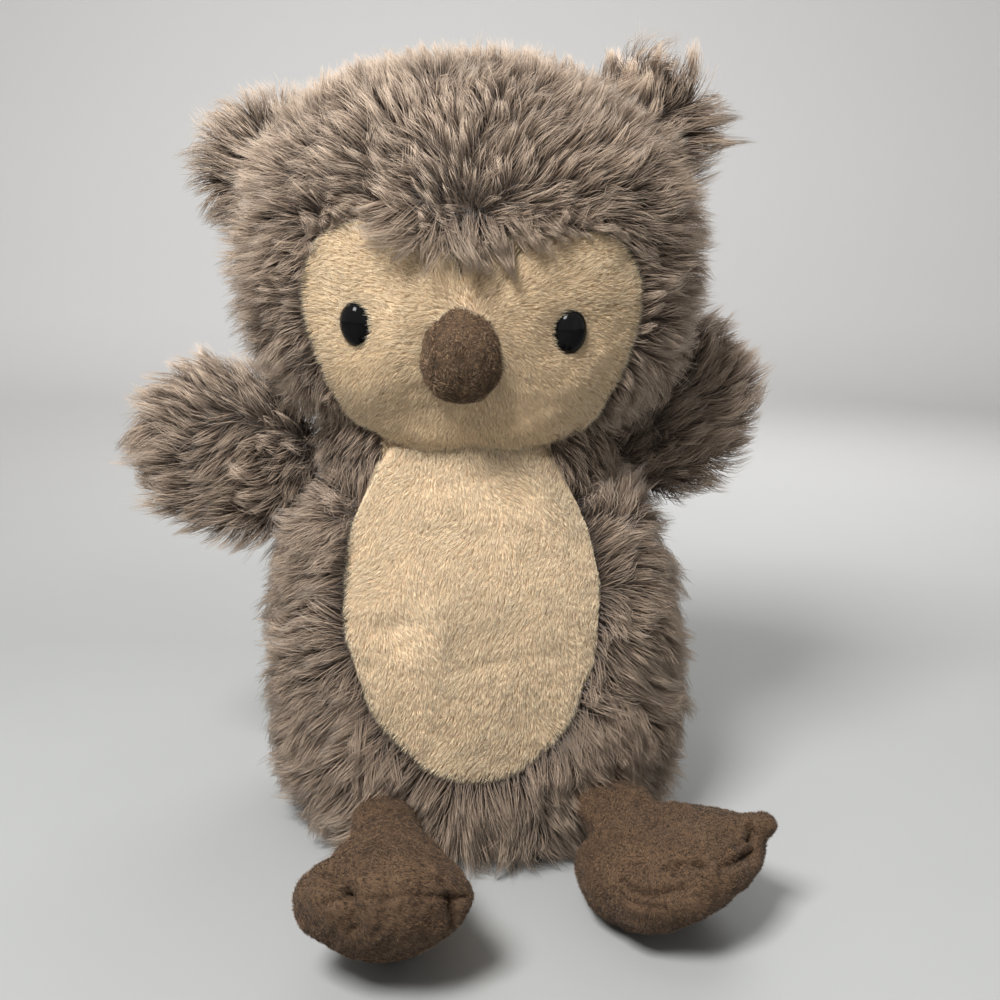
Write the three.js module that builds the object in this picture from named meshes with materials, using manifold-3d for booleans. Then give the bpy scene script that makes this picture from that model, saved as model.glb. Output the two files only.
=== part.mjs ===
// A seated plush owl of long-pile cloth, with short-pile face and belly panels and suede feet and beak.
// Lengths are millimetres, angles degrees. The owl faces -Y, +Z is up and it sits on the plane z = 0.
// Left and right are those of someone facing the owl, so left is -X.

import * as THREE from 'three';
import { mergeVertices } from 'three/addons/utils/BufferGeometryUtils.js';
import Module from 'manifold-3d';

const wasm = await Module();
wasm.setup();

// Clearances and cutting
const gap = 0.3;
const overrun = 30;
const room = 600;
const seatFlat = 0.5;

// Cloths, measured with their pile laid as in use
const furPile = 10;
const shortPile = 3.5;
const suede = 1.4;
const pouchCloth = 0.8;

// Body
const bodyWidth = 140;
const bodyDepth = 104;
const bodyHeight = 128;
const bodyLean = -2;
const shoulderNarrowShare = 0.14;

// Belly panel
const bellyWidth = 75;
const bellyHeight = 106;
const bellyMiddle = 82;
const bellyOffset = 1;

// Pouch of pellets in the seat
const pouchWidth = 66;
const pouchDepth = 50;
const pouchHeight = 26;

// Neck
const neckRadius = 23;
const neckDepth = 34;
const neckRise = 15;

// Head
const headWidth = 142;
const headDepth = 104;
const headHeight = 118;
const headOffset = -4;
const headRoll = 1.5;
const headSink = 5.5;

// Face panel
const faceWidth = 90;
const faceHeight = 60;
const faceMiddle = -22.5;
const faceOffset = 2;

// Eyes and their locking washers
const eyeSpacing = 58;
const eyeDrop = 17.5;
const eyeRadius = 6.3;
const eyeRise = 5;
const shankRadius = 2;
const shankLength = 11;
const shankRidge = 0.5;
const shankRidges = 3;
const washerRadius = 8;
const washerHole = 2.8;
const washerThickness = 1.4;
const washerSlack = 1;

// Beak
const beakWidth = 23;
const beakHeight = 27;
const beakDepth = 30;
const beakDrop = 23.5;
const beakSink = 3;
const beakSeamOffset = -7;
const beakOffset = -2.2;

// Ears
const earWidth = 40;
const earHeight = 44;
const earThickness = 18;
const earSink = 8;

// Wings
const wingLength = 66;
const wingWidth = 60;
const wingThickness = 32;
const wingRoot = 9;
const wingPile = 8;
const rootThinShare = 0.45;
const rootNarrowShare = 0.1;

// Legs and feet
const footWidth = 55;
const footLength = 53;
const footThickness = 34;
const leftHeelShare = 0.5;
const rightHeelShare = 0.8;
const toeThinShare = 0.35;
const leftLegWidth = 19;
const rightLegWidth = 26;
const legThickness = 19;
const hipThinShare = 0.5;
const hipSink = 6;
const legOverlap = 16;
const leftFootDistance = 47;
const leftFootOffset = 5.5;
const rightFootDistance = 28;
const rightFootOffset = 15.5;

// Fineness of the forms
const bodyRound = { around: 24, rings: 12, side: 2.3, top: 3, base: 5 };
const headRound = { around: 24, rings: 12, side: 2.3, top: 2.35, base: 2.5 };
const limbRound = { around: 14, rings: 8, side: 2.4, top: 2.2, base: 2.2 };
const footRound = { around: 16, rings: 8, side: 2.5, top: 2.2, base: 2.4 };
const earRound = { around: 14, rings: 6, side: 2.2, top: 2.2, base: 2.2 };
const beakRound = { around: 14, rings: 8, side: 2.1, top: 2.1, base: 2.1 };
const pouchRound = { around: 20, rings: 6, side: 2.2, top: 2.4, base: 2.4 };
const turnedSides = 18;
const ellipseSteps = 22;
const splineSteps = 3;
const shankSides = 10;

// How far each joint swings from rest
const turnRange = [-35, 35];
const nodRange = [-12, 6];
const earRange = [-25, 30];
const legRange = [-40, 45];

// What differs between the two sides
const wings = {
  left: { elevation: 41, azimuth: 178, lift: 23, yaw: 180, range: [-30, 50] },
  right: { elevation: 41, azimuth: 14, lift: 48, yaw: 26, range: [-20, 30] },
};
const legs = {
  left: {
    elevation: -34, azimuth: -113, yaw: -4, pitch: 34, roll: 0,
    distance: leftFootDistance, offset: leftFootOffset, heelShare: leftHeelShare, legWidth: leftLegWidth,
  },
  right: {
    elevation: -34, azimuth: -57, yaw: 48, pitch: 18, roll: -6,
    distance: rightFootDistance, offset: rightFootOffset, heelShare: rightHeelShare, legWidth: rightLegWidth,
  },
};
const ears = {
  left: { elevation: 24, azimuth: 180, lean: 66 },
  right: { elevation: 42, azimuth: 0, lean: -46 },
};

// Face outline: across and up, as shares of half its width and height, from the chin up one side
const faceOutlineShares = [
  [0, -1.08], [0.52, -1.02], [0.77, -0.78], [0.92, -0.33], [1.02, 0.3], [0.95, 0.8], [0.72, 1], [0.36, 0.96], [0, 0.84],
];

// Colours
const colours = {
  fur: '#8d7c71',
  cream: '#e2cdab',
  suede: '#5d4737',
  stuffing: '#f1eee8',
  eye: '#09090b',
  washer: '#d9d9d5',
  pouch: '#efece4',
  pellets: '#e4e1d8',
};

const radians = (degrees) => THREE.MathUtils.degToRad(degrees);
const xAxis = new THREE.Vector3(1, 0, 0);
const yAxis = new THREE.Vector3(0, 1, 0);
const zAxis = new THREE.Vector3(0, 0, 1);
const middle = (low, high) => (low + high) / 2;

// Turns a closed geometry into a solid that can be joined and cut
function solidOf(geometry) {
  const bare = geometry.clone();
  bare.deleteAttribute('normal');
  bare.deleteAttribute('uv');
  const merged = mergeVertices(bare);
  const vertProperties = new Float32Array(merged.getAttribute('position').array);
  const triVerts = new Uint32Array(merged.index.array);
  return new wasm.Manifold(new wasm.Mesh({ numProp: 3, vertProperties, triVerts }));
}

// Turns a solid back into a geometry
function geometryOf(solid) {
  const mesh = solid.getMesh();
  const geometry = new THREE.BufferGeometry();
  geometry.setAttribute('position', new THREE.BufferAttribute(new Float32Array(mesh.vertProperties), 3));
  geometry.setIndex(new THREE.BufferAttribute(new Uint32Array(mesh.triVerts), 1));
  geometry.computeVertexNormals();
  return geometry;
}

// The unit vector at an elevation above the horizon and an azimuth from +X towards +Y
function bearing(elevation, azimuth) {
  const level = Math.cos(radians(elevation));
  return new THREE.Vector3(
    level * Math.cos(radians(azimuth)), level * Math.sin(radians(azimuth)), Math.sin(radians(elevation)),
  );
}

// A closed form that swells and tapers. Its poles lie on its own Z axis, and an inset makes it smaller all
// round, but by only a share of the inset where the cloth is pressed thin.
class SoftForm {
  constructor({ width, depth, height, round, place, reshape = () => {}, pressed = {} }) {
    Object.assign(this, { width, depth, height, round, place, reshape });
    this.pressed = { depth: 1, base: 1, ...pressed };
  }

  // The point of the surface in the direction of a unit vector, before the form is placed
  localPoint(direction, inset) {
    const { round, pressed } = this;
    const level = Math.hypot(direction.x, direction.y);
    const cornering = (a, b, boxiness) => (Math.abs(a) ** boxiness + Math.abs(b) ** boxiness) ** (-1 / boxiness);
    const upright = cornering(level, direction.z, direction.z > 0 ? round.top : round.base);
    const sideways = level > 0 ? cornering(direction.x / level, direction.y / level, round.side) : 0;
    const share = new THREE.Vector3(direction.x * sideways, direction.y * sideways, direction.z);
    share.multiplyScalar(upright);
    this.reshape(share);
    const insetTotal = inset * (1 + pressed.base);
    const half = new THREE.Vector3(
      this.width / 2 - inset, this.depth / 2 - inset * pressed.depth, (this.height - insetTotal) / 2,
    );
    const sunk = middle(-inset, inset * pressed.base);
    return share.multiply(half).add(new THREE.Vector3(0, 0, sunk));
  }

  point(direction, inset = 0) {
    return this.localPoint(direction, inset).applyMatrix4(this.place);
  }

  // The surface's outward normal in the direction of a unit vector
  normal(direction) {
    const side = new THREE.Vector3().crossVectors(direction, zAxis).normalize();
    const up = new THREE.Vector3().crossVectors(side, direction).normalize();
    const near = (shift) => this.point(direction.clone().addScaledVector(shift, radians(1)).normalize());
    const here = this.point(direction);
    return near(up).sub(here).cross(near(side).sub(here)).normalize();
  }

  geometry(inset = 0) {
    const geometry = new THREE.SphereGeometry(1, this.round.around, this.round.rings).rotateX(radians(90));
    const position = geometry.getAttribute('position');
    const direction = new THREE.Vector3();
    for (let i = 0; i < position.count; i += 1) {
      direction.fromBufferAttribute(position, i);
      const point = this.point(direction, inset);
      position.setXYZ(i, point.x, point.y, point.z);
    }
    return geometry;
  }

  solid(inset = 0, motion = new THREE.Matrix4()) {
    return solidOf(this.geometry(inset).applyMatrix4(motion));
  }

  shell(outerInset, innerInset) {
    return this.solid(outerInset).subtract(this.solid(innerInset));
  }
}

// The motion that turns things by some degrees about a joint
function motionAbout(joint, degrees) {
  const out = new THREE.Matrix4().makeTranslation(joint.point.x, joint.point.y, joint.point.z);
  const back = out.clone().invert();
  return out.multiply(new THREE.Matrix4().makeRotationAxis(joint.axis, radians(degrees))).multiply(back);
}

// Cuts a limb so that it clears a larger solid at rest, halfway and at both ends of its swing
function clearedOf(limb, joint, solidAt) {
  const [low, high] = joint.range;
  let cleared = limb;
  for (const degrees of [0, low / 2, high / 2, low, high]) {
    cleared = cleared.subtract(solidAt(motionAbout(joint, -degrees)));
  }
  return cleared;
}

// The half of space beyond a plane through a point, less half a gap
function beyond(point, normal) {
  const box = new THREE.BoxGeometry(room, room, room);
  const turn = new THREE.Quaternion().setFromUnitVectors(zAxis, normal);
  const centre = point.clone().addScaledVector(normal, (room + gap) / 2);
  box.applyQuaternion(turn).translate(centre.x, centre.y, centre.z);
  return solidOf(box);
}

// A turned solid about the vertical through a point, from a profile of radius and height pairs
function turned(profile, point, sides = turnedSides) {
  const points = profile.map(([radius, height]) => new THREE.Vector2(radius, height));
  const geometry = new THREE.LatheGeometry(points, sides).rotateX(radians(90));
  return geometry.translate(point.x, point.y, point.z);
}

// A prism along Y over a closed outline drawn in the XZ plane, in front of y = 0
function frontPrism(shape, curveSegments, place) {
  const prism = new THREE.ExtrudeGeometry(shape, { depth: room / 2, bevelEnabled: false, curveSegments });
  return solidOf(prism.rotateX(radians(90)).applyMatrix4(place));
}

// The forms of the body and head, and where each is placed
const bodyPlace = new THREE.Matrix4().makeRotationY(radians(bodyLean));
bodyPlace.multiply(new THREE.Matrix4().makeTranslation(0, 0, bodyHeight / 2 - seatFlat));

function narrowShoulders(share) {
  const rise = (share.z + 1) / 2;
  const narrow = 1 - shoulderNarrowShare * rise * rise;
  share.x *= narrow;
  share.y *= narrow;
}

const bodyForm = new SoftForm({
  width: bodyWidth, depth: bodyDepth, height: bodyHeight, round: bodyRound, place: bodyPlace,
  reshape: narrowShoulders, pressed: { depth: 0.6, base: 0.5 },
});

const headMiddle = bodyHeight + headHeight / 2 - headSink;
const headPlace = new THREE.Matrix4().makeTranslation(headOffset, 0, headMiddle);
headPlace.multiply(new THREE.Matrix4().makeRotationY(radians(headRoll)));

const headForm = new SoftForm({
  width: headWidth, depth: headDepth, height: headHeight, round: headRound, place: headPlace,
  pressed: { depth: 0.6, base: 0.4 },
});

const faceInset = furPile - shortPile;
const neckPivot = new THREE.Vector3(headOffset, 0, bodyHeight - headSink + neckRise);
const neckJoint = { name: 'neck_turn', point: neckPivot, axis: zAxis, range: turnRange };
const headJoint = { name: 'head_nod', point: neckPivot, axis: xAxis, range: nodRange };

// The solid that the head sweeps over while it turns and nods, as one turned envelope
function headSweep(extra = gap) {
  const steps = 9;
  const position = headForm.geometry().getAttribute('position');
  const points = [];
  for (const share of [0, 0.25, 0.5, 0.75, 1]) {
    const motion = motionAbout(headJoint, THREE.MathUtils.lerp(nodRange[0], nodRange[1], share));
    for (let i = 0; i < position.count; i += 1) {
      const point = new THREE.Vector3().fromBufferAttribute(position, i).applyMatrix4(motion).sub(neckPivot);
      points.push([Math.hypot(point.x, point.y), point.z]);
    }
  }
  const reach = Math.max(...points.map(([radius]) => radius)) + extra;
  const crown = Math.max(...points.map(([, height]) => height)) + extra;
  const step = reach / steps;
  const profile = [];
  for (let i = 0; i <= steps; i += 1) {
    const heights = points.filter(([radius]) => radius >= step * (i - 1) - extra).map(([, height]) => height);
    profile.push([step * i, Math.min(...heights) - extra]);
  }
  profile.push([reach, crown], [0, crown]);
  return turned(profile, neckPivot);
}

const headSweepGeometry = headSweep();
const floorSolid = beyond(new THREE.Vector3(0, 0, gap / 2), zAxis.clone().negate());

// A material of its own for each mesh
function finish(colour, roughness = 0.95) {
  return new THREE.MeshStandardMaterial({ color: colour, roughness, metalness: 0 });
}

// Adds a solid, made in the owl's own frame, to a group that may be moved from it
function addPiece(group, name, solid, material) {
  group.updateWorldMatrix(true, false);
  const geometry = geometryOf(solid).applyMatrix4(group.matrixWorld.clone().invert());
  const mesh = new THREE.Mesh(geometry, material);
  mesh.name = name;
  group.add(mesh);
}

// A group whose origin is the joint that it moves at. It carries the joint's axis and range in degrees.
function jointGroup(parent, joint) {
  const group = new THREE.Group();
  group.position.copy(parent.worldToLocal(joint.point.clone()));
  group.userData.joint = joint;
  parent.add(group);
  group.updateWorldMatrix(true, false);
  return group;
}

// The belly's oval, as a prism that can be grown by a clearance
function bellyPrism(grow = 0) {
  const shape = new THREE.Shape();
  shape.absellipse(bellyOffset, bellyMiddle, bellyWidth / 2 + grow, bellyHeight / 2 + grow, 0, radians(360));
  return frontPrism(shape, ellipseSteps, new THREE.Matrix4().makeRotationY(radians(bodyLean)));
}

// The face's heart-like outline, as a prism that can be grown by a clearance
function facePrism(grow = 0) {
  const halfWidth = faceWidth / 2 + grow;
  const halfHeight = faceHeight / 2 + grow;
  const place = ([across, up]) => new THREE.Vector2(faceOffset + across * halfWidth, faceMiddle + up * halfHeight);
  const oneSide = faceOutlineShares.map(place);
  const otherSide = faceOutlineShares.slice(1, -1).map(([across, up]) => place([-across, up])).reverse();
  const shape = new THREE.Shape();
  shape.moveTo(oneSide[0].x, oneSide[0].y);
  shape.splineThru([...oneSide.slice(1), ...otherSide, oneSide[0]]);
  return frontPrism(shape, splineSteps, headPlace);
}

// The gap that lets the faceted plug turn in a hollow of the same facets
const turningGap = neckRadius / Math.cos(radians(180 / turnedSides)) - neckRadius + gap;

// The plug of stuffing that fills the neck, a post with a round top centred on the neck's pivot
function neckPlug(grow = 0) {
  const radius = neckRadius + grow;
  const profile = [[0, -neckDepth - grow], [radius, -neckDepth - grow]];
  const arcSteps = 6;
  for (let i = 0; i <= arcSteps; i += 1) {
    const angle = radians((90 * i) / arcSteps);
    profile.push([radius * Math.cos(angle), radius * Math.sin(angle)]);
  }
  profile[profile.length - 1][0] = 0;
  return turned(profile, neckPivot);
}

// The hollow that the head needs round the plug while it nods
function noddingHollow() {
  const [back, forward] = nodRange;
  const plugs = [back, back / 2, 0, forward].map((degrees) => (
    solidOf(neckPlug(turningGap).applyMatrix4(motionAbout(headJoint, -degrees)))
  ));
  return wasm.Manifold.hull(plugs);
}

// The pellets' pouch, a lens that lies on the seat inside the body
const pouchForm = new SoftForm({
  width: pouchWidth, depth: pouchDepth, height: pouchHeight, round: pouchRound,
  place: new THREE.Matrix4().makeTranslation(
    0, 0, furPile * bodyForm.pressed.base - seatFlat + gap + pouchHeight / 2,
  ),
});

// The hollow for the pouch, open below
function pouchHollow() {
  const shape = new THREE.Shape();
  shape.absellipse(0, 0, pouchWidth / 2 + gap, pouchDepth / 2 + gap, 0, radians(360));
  const below = new THREE.ExtrudeGeometry(shape, { depth: overrun + pouchHeight, bevelEnabled: false });
  const centre = new THREE.Vector3().setFromMatrixPosition(pouchForm.place);
  below.translate(0, 0, centre.z - overrun - pouchHeight);
  return pouchForm.solid(-gap).add(solidOf(below));
}

// Body: two fur sides, the belly panel, the stuffing and the pouch of pellets
function buildBody(owl) {
  const opening = solidOf(headSweepGeometry).add(solidOf(neckPlug(turningGap)));
  const trimmed = (solid) => solid.subtract(opening).subtract(floorSolid);
  const fur = trimmed(bodyForm.shell(0, furPile).subtract(bellyPrism(gap)));
  const seam = bodyForm.point(zAxis);
  for (const [side, sign] of [['left', -1], ['right', 1]]) {
    const half = fur.intersect(beyond(seam, new THREE.Vector3(sign, 0, 0)));
    addPiece(owl, `body_fur_${side}`, half, finish(colours.fur));
  }
  const belly = bodyForm.shell(faceInset, furPile).intersect(bellyPrism());
  addPiece(owl, 'belly_panel', trimmed(belly), finish(colours.cream));
  const stuffing = trimmed(bodyForm.solid(furPile + gap)).subtract(pouchHollow());
  addPiece(owl, 'body_stuffing', stuffing, finish(colours.stuffing));

  const pouch = pouchForm.shell(0, pouchCloth);
  const rim = new THREE.Vector3().setFromMatrixPosition(pouchForm.place);
  addPiece(owl, 'pellet_pouch_top', pouch.intersect(beyond(rim, zAxis)), finish(colours.pouch));
  const under = pouch.intersect(beyond(rim, zAxis.clone().negate()));
  addPiece(owl, 'pellet_pouch_bottom', under, finish(colours.pouch));
  addPiece(owl, 'pellet_fill', pouchForm.solid(pouchCloth + gap), finish(colours.pellets, 0.6));
}

// Where a feature sits on the face, and the way it points
function faceSeat(across, drop) {
  const share = new THREE.Vector3(across / (headWidth / 2 - faceInset), 0, -drop / (headHeight / 2 - faceInset));
  const level = (1 - Math.abs(share.z) ** headRound.base) ** (1 / headRound.base);
  share.y = -((level ** headRound.side - Math.abs(share.x) ** headRound.side) ** (1 / headRound.side));
  const direction = share.normalize();
  return { point: headForm.point(direction, faceInset), normal: headForm.normal(direction) };
}

// Turns a geometry made about Z so that it points along a seat's normal
function onSeat(geometry, seat, sink = 0) {
  const turn = new THREE.Quaternion().setFromUnitVectors(zAxis, seat.normal);
  const point = seat.point.clone().addScaledVector(seat.normal, -sink);
  return geometry.applyQuaternion(turn).translate(point.x, point.y, point.z);
}

const atOrigin = new THREE.Vector3();

// A domed eye with a ridged shank behind it
function eyeSolid(seat, skin) {
  const dome = [[0, -eyeRise]];
  const arcSteps = 3;
  for (let i = 0; i <= arcSteps; i += 1) {
    const angle = radians((90 * i) / arcSteps);
    dome.push([eyeRadius * Math.cos(angle), eyeRise * Math.sin(angle)]);
  }
  dome.splice(1, 0, [eyeRadius, -eyeRise]);
  dome[dome.length - 1][0] = 0;
  const shank = [[0, -shankLength]];
  const pitch = (shankLength - shortPile) / (shankRidges + 1);
  for (let i = 0; i < shankRidges; i += 1) {
    const foot = -shankLength + pitch * i;
    shank.push([shankRadius, foot], [shankRadius + shankRidge, foot + pitch * 0.7], [shankRadius, foot + pitch * 0.7]);
  }
  shank.push([shankRadius, eyeRise / 2], [0, eyeRise / 2]);
  const domeSolid = solidOf(onSeat(turned(dome, atOrigin), seat)).subtract(skin);
  return domeSolid.add(solidOf(onSeat(turned(shank, atOrigin, shankSides), seat)));
}

// A plain disc or bore on a seat, from one depth behind it to another
function discOn(seat, radius, near, far) {
  return solidOf(onSeat(turned([[0, -far], [radius, -far], [radius, -near], [0, -near]], atOrigin), seat));
}

// The beak: a stuffed suede egg in two panels
function buildBeak(head, skin) {
  const seat = faceSeat(faceOffset + beakOffset, beakDrop);
  const place = headPlace.clone().setPosition(seat.point);
  place.multiply(new THREE.Matrix4().makeTranslation(0, beakSink, 0));
  const form = new SoftForm({ width: beakWidth, depth: beakDepth, height: beakHeight, round: beakRound, place });
  const cover = form.shell(0, suede).subtract(skin);
  const seam = new THREE.Vector3(beakSeamOffset, 0, 0).applyMatrix4(place);
  for (const [side, sign] of [['left', -1], ['right', 1]]) {
    const panel = cover.intersect(beyond(seam, new THREE.Vector3(sign, 0, 0)));
    addPiece(head, `beak_${side}`, panel, finish(colours.suede));
  }
  addPiece(head, 'beak_stuffing', form.solid(suede + gap).subtract(skin), finish(colours.stuffing));
}

// Head: two fur sides, the face panel, the eyes and their washers, the beak and the stuffing
function buildHead(head) {
  const neckHole = noddingHollow();
  const skin = headForm.solid(faceInset - gap);
  const fur = headForm.shell(0, furPile).subtract(facePrism(gap)).subtract(neckHole);
  const seam = new THREE.Vector3().setFromMatrixPosition(headPlace);
  for (const [side, sign] of [['left', -1], ['right', 1]]) {
    const half = fur.intersect(beyond(seam, new THREE.Vector3(sign, 0, 0)));
    addPiece(head, `head_fur_${side}`, half, finish(colours.fur));
  }
  let face = headForm.shell(faceInset, furPile).intersect(facePrism()).subtract(neckHole);
  let stuffing = headForm.solid(furPile + gap).subtract(neckHole);
  const washerNear = shortPile + washerSlack;
  const washerFar = washerNear + washerThickness;
  for (const [side, sign] of [['left', -1], ['right', 1]]) {
    const seat = faceSeat((sign * eyeSpacing) / 2, eyeDrop);
    addPiece(head, `eye_${side}`, eyeSolid(seat, skin), finish(colours.eye, 0.08));
    const washer = discOn(seat, washerRadius, washerNear, washerFar)
      .subtract(discOn(seat, washerHole, -overrun, overrun));
    addPiece(head, `eye_washer_${side}`, washer, finish(colours.washer, 0.5));
    face = face.subtract(discOn(seat, washerHole, -overrun, overrun));
    stuffing = stuffing.subtract(discOn(seat, washerRadius + gap, -overrun, washerFar + gap));
    stuffing = stuffing.subtract(discOn(seat, washerHole, -overrun, shankLength + gap));
  }
  addPiece(head, 'face_panel', face, finish(colours.cream));
  addPiece(head, 'head_stuffing', stuffing, finish(colours.stuffing));
  buildBeak(head, skin);
}

// An ear: a flat flap of fur in two layers that folds at the line where it meets the head
function buildEar(head, side) {
  const { elevation, azimuth, lean } = ears[side];
  const direction = bearing(elevation, azimuth);
  const root = headForm.point(direction);
  const place = new THREE.Matrix4().makeRotationY(radians(lean * -1));
  place.premultiply(new THREE.Matrix4().makeTranslation(root.x, root.y, root.z));
  place.multiply(new THREE.Matrix4().makeTranslation(0, 0, -earSink)).multiply(
    new THREE.Matrix4().makeRotationX(radians(90)),
  );
  const form = new SoftForm({ width: earWidth, depth: earHeight, height: earThickness, round: earRound, place });
  const axis = xAxis.clone().transformDirection(place);
  const joint = { name: `ear_${side}_fold`, point: root, axis, range: earRange };
  const flap = clearedOf(form.solid(), joint, (motion) => headForm.solid(-gap, motion));
  const group = jointGroup(head, joint);
  addPiece(group, `ear_${side}_front`, flap.intersect(beyond(root, yAxis.clone().negate())), finish(colours.fur));
  addPiece(group, `ear_${side}_back`, flap.intersect(beyond(root, yAxis)), finish(colours.fur));
}

// A wing: two fur faces over stuffing, thin at the seam that it flaps about
function buildWing(owl, side) {
  const { elevation, azimuth, lift, yaw, range } = wings[side];
  const shoulder = bodyForm.point(bearing(elevation, azimuth));
  const place = new THREE.Matrix4().makeTranslation(shoulder.x, shoulder.y, shoulder.z);
  place.multiply(new THREE.Matrix4().makeRotationZ(radians(yaw)));
  place.multiply(new THREE.Matrix4().makeRotationY(radians(-lift)));
  const thickness = yAxis.clone().transformDirection(place);
  const across = zAxis.clone().transformDirection(place);
  const forward = Math.sign(-thickness.y);
  const joint = { name: `wing_${side}_flap`, point: shoulder, axis: across.multiplyScalar(forward), range };
  place.multiply(new THREE.Matrix4().makeTranslation(wingLength / 2 - wingRoot, 0, 0));
  place.multiply(new THREE.Matrix4().makeRotationX(radians(90)));
  const form = new SoftForm({
    width: wingLength, depth: wingWidth, height: wingThickness, round: limbRound, place,
    reshape: (share) => {
      const inward = (1 - share.x) / 2;
      share.z *= 1 - rootThinShare * inward;
      share.y *= 1 - rootNarrowShare * inward;
    },
  });
  const larger = (motion) => bodyForm.solid(-gap, motion).add(solidOf(headSweepGeometry.clone().applyMatrix4(motion)));
  const whole = clearedOf(form.solid(), joint, larger);
  const group = jointGroup(owl, joint);
  const fur = whole.subtract(form.solid(wingPile));
  const front = thickness.clone().multiplyScalar(forward);
  addPiece(group, `wing_${side}_front`, fur.intersect(beyond(shoulder, front)), finish(colours.fur));
  addPiece(group, `wing_${side}_back`, fur.intersect(beyond(shoulder, front.clone().negate())), finish(colours.fur));
  addPiece(group, `wing_${side}_stuffing`, whole.intersect(form.solid(wingPile + gap)), finish(colours.stuffing));
}

// A leg and foot: a suede upper that runs up the leg, a suede sole and the stuffing
function buildLeg(owl, side) {
  const { elevation, azimuth, yaw, pitch, roll, distance, offset, heelShare, legWidth } = legs[side];
  const hip = bodyForm.point(bearing(elevation, azimuth));
  const footPlace = new THREE.Matrix4().makeRotationZ(radians(yaw));
  footPlace.multiply(new THREE.Matrix4().makeRotationX(radians(-pitch)));
  footPlace.multiply(new THREE.Matrix4().makeRotationY(radians(roll)));
  const foot = new SoftForm({
    width: footWidth, depth: footLength, height: footThickness, round: footRound, place: footPlace,
    reshape: (share) => {
      share.x *= 1 - (1 - heelShare) * ((1 + share.y) / 2);
      share.z *= 1 - toeThinShare * ((1 - share.y) / 2);
    },
  });
  const lowest = new THREE.Box3().setFromBufferAttribute(foot.geometry().getAttribute('position')).min.z;
  const centre = new THREE.Vector3(hip.x + offset, hip.y - distance, -lowest - seatFlat);
  footPlace.setPosition(centre);
  const legRun = centre.clone().sub(hip);
  const legLength = legRun.length() + hipSink - footLength / 2 + legOverlap;
  const legTurn = new THREE.Quaternion().setFromUnitVectors(yAxis.clone().negate(), legRun.clone().normalize());
  const legMiddle = hip.clone().addScaledVector(legRun.normalize(), legLength / 2 - hipSink);
  const legPlace = new THREE.Matrix4().compose(legMiddle, legTurn, new THREE.Vector3(1, 1, 1));
  const leg = new SoftForm({
    width: legWidth, depth: legLength, height: legThickness, round: limbRound, place: legPlace,
    reshape: (share) => {
      share.z *= 1 - hipThinShare * ((1 + share.y) / 2);
    },
  });
  const joint = { name: `leg_${side}_swing`, point: hip, axis: xAxis, range: legRange };
  const both = (inset) => foot.solid(inset).add(leg.solid(inset));
  const whole = clearedOf(both(0), joint, (motion) => bodyForm.solid(-gap, motion)).subtract(floorSolid);
  const cover = whole.subtract(both(suede));
  const up = zAxis.clone().transformDirection(footPlace);
  const group = jointGroup(owl, joint);
  addPiece(group, `foot_${side}_upper`, cover.intersect(beyond(centre, up)), finish(colours.suede));
  addPiece(group, `foot_${side}_sole`, cover.intersect(beyond(centre, up.clone().negate())), finish(colours.suede));
  addPiece(group, `foot_${side}_stuffing`, whole.intersect(both(suede + gap)), finish(colours.stuffing));
}

const owl = new THREE.Group();
const neck = jointGroup(owl, neckJoint);
const head = jointGroup(neck, headJoint);
buildBody(owl);
addPiece(neck, 'neck_stuffing', solidOf(neckPlug()), finish(colours.stuffing));
buildHead(head);
for (const side of ['left', 'right']) {
  buildEar(head, side);
  buildWing(owl, side);
  buildLeg(owl, side);
}

export default owl;
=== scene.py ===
"""Plush owl: the skins, pile, face, beak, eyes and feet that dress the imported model."""

import logging
import math
from dataclasses import dataclass, field, replace
from enum import Enum
from typing import Callable, Sequence

import bpy
import numpy as np
from mathutils import Matrix, Vector
from mathutils.kdtree import KDTree


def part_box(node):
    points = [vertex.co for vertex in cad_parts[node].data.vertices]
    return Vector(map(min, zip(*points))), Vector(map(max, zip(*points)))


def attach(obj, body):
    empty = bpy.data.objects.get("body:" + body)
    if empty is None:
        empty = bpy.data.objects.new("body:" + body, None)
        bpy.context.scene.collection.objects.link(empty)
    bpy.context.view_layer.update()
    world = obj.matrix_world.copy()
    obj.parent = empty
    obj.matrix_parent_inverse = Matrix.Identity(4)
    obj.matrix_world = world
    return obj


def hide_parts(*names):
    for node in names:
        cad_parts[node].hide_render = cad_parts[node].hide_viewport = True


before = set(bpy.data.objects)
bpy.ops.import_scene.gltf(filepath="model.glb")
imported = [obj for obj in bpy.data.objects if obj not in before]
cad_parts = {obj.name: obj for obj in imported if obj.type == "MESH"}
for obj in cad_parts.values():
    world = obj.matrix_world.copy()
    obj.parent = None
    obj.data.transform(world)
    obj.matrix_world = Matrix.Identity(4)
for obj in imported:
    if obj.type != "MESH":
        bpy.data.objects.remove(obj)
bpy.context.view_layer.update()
LOG = logging.getLogger("plush_owl")

MM = 0.001
UP = np.array([0.0, 0.0, 1.0])
FLOOR_CLEARANCE = 0.4
STRANDS_PER_PIECE = 12000
# How every strand of pile grows: the share of its lean at the root, how much of its bend it makes, how far
# tufts close up at most, its tip's share of its width, and the size in mm of patches of one tint
ROOT_LEAN = 0.55
BEND = 0.75
GATHER_LIMIT = 0.95
TIP_WIDTH = 0.25
TINT_PATCH_SIZE = 30


# Small numeric helpers


def unit(vectors: np.ndarray) -> np.ndarray:
    """Returns the vectors scaled to length 1, along the last axis."""
    return vectors / np.maximum(np.linalg.norm(vectors, axis=-1, keepdims=True), 1e-9)


def smooth(low: float, high: float, values: np.ndarray) -> np.ndarray:
    """Returns a smooth ramp from 0 at low to 1 at high, also where low is the larger."""
    t = np.clip((values - low) / (high - low), 0, 1)
    return t * t * (3 - 2 * t)


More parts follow.
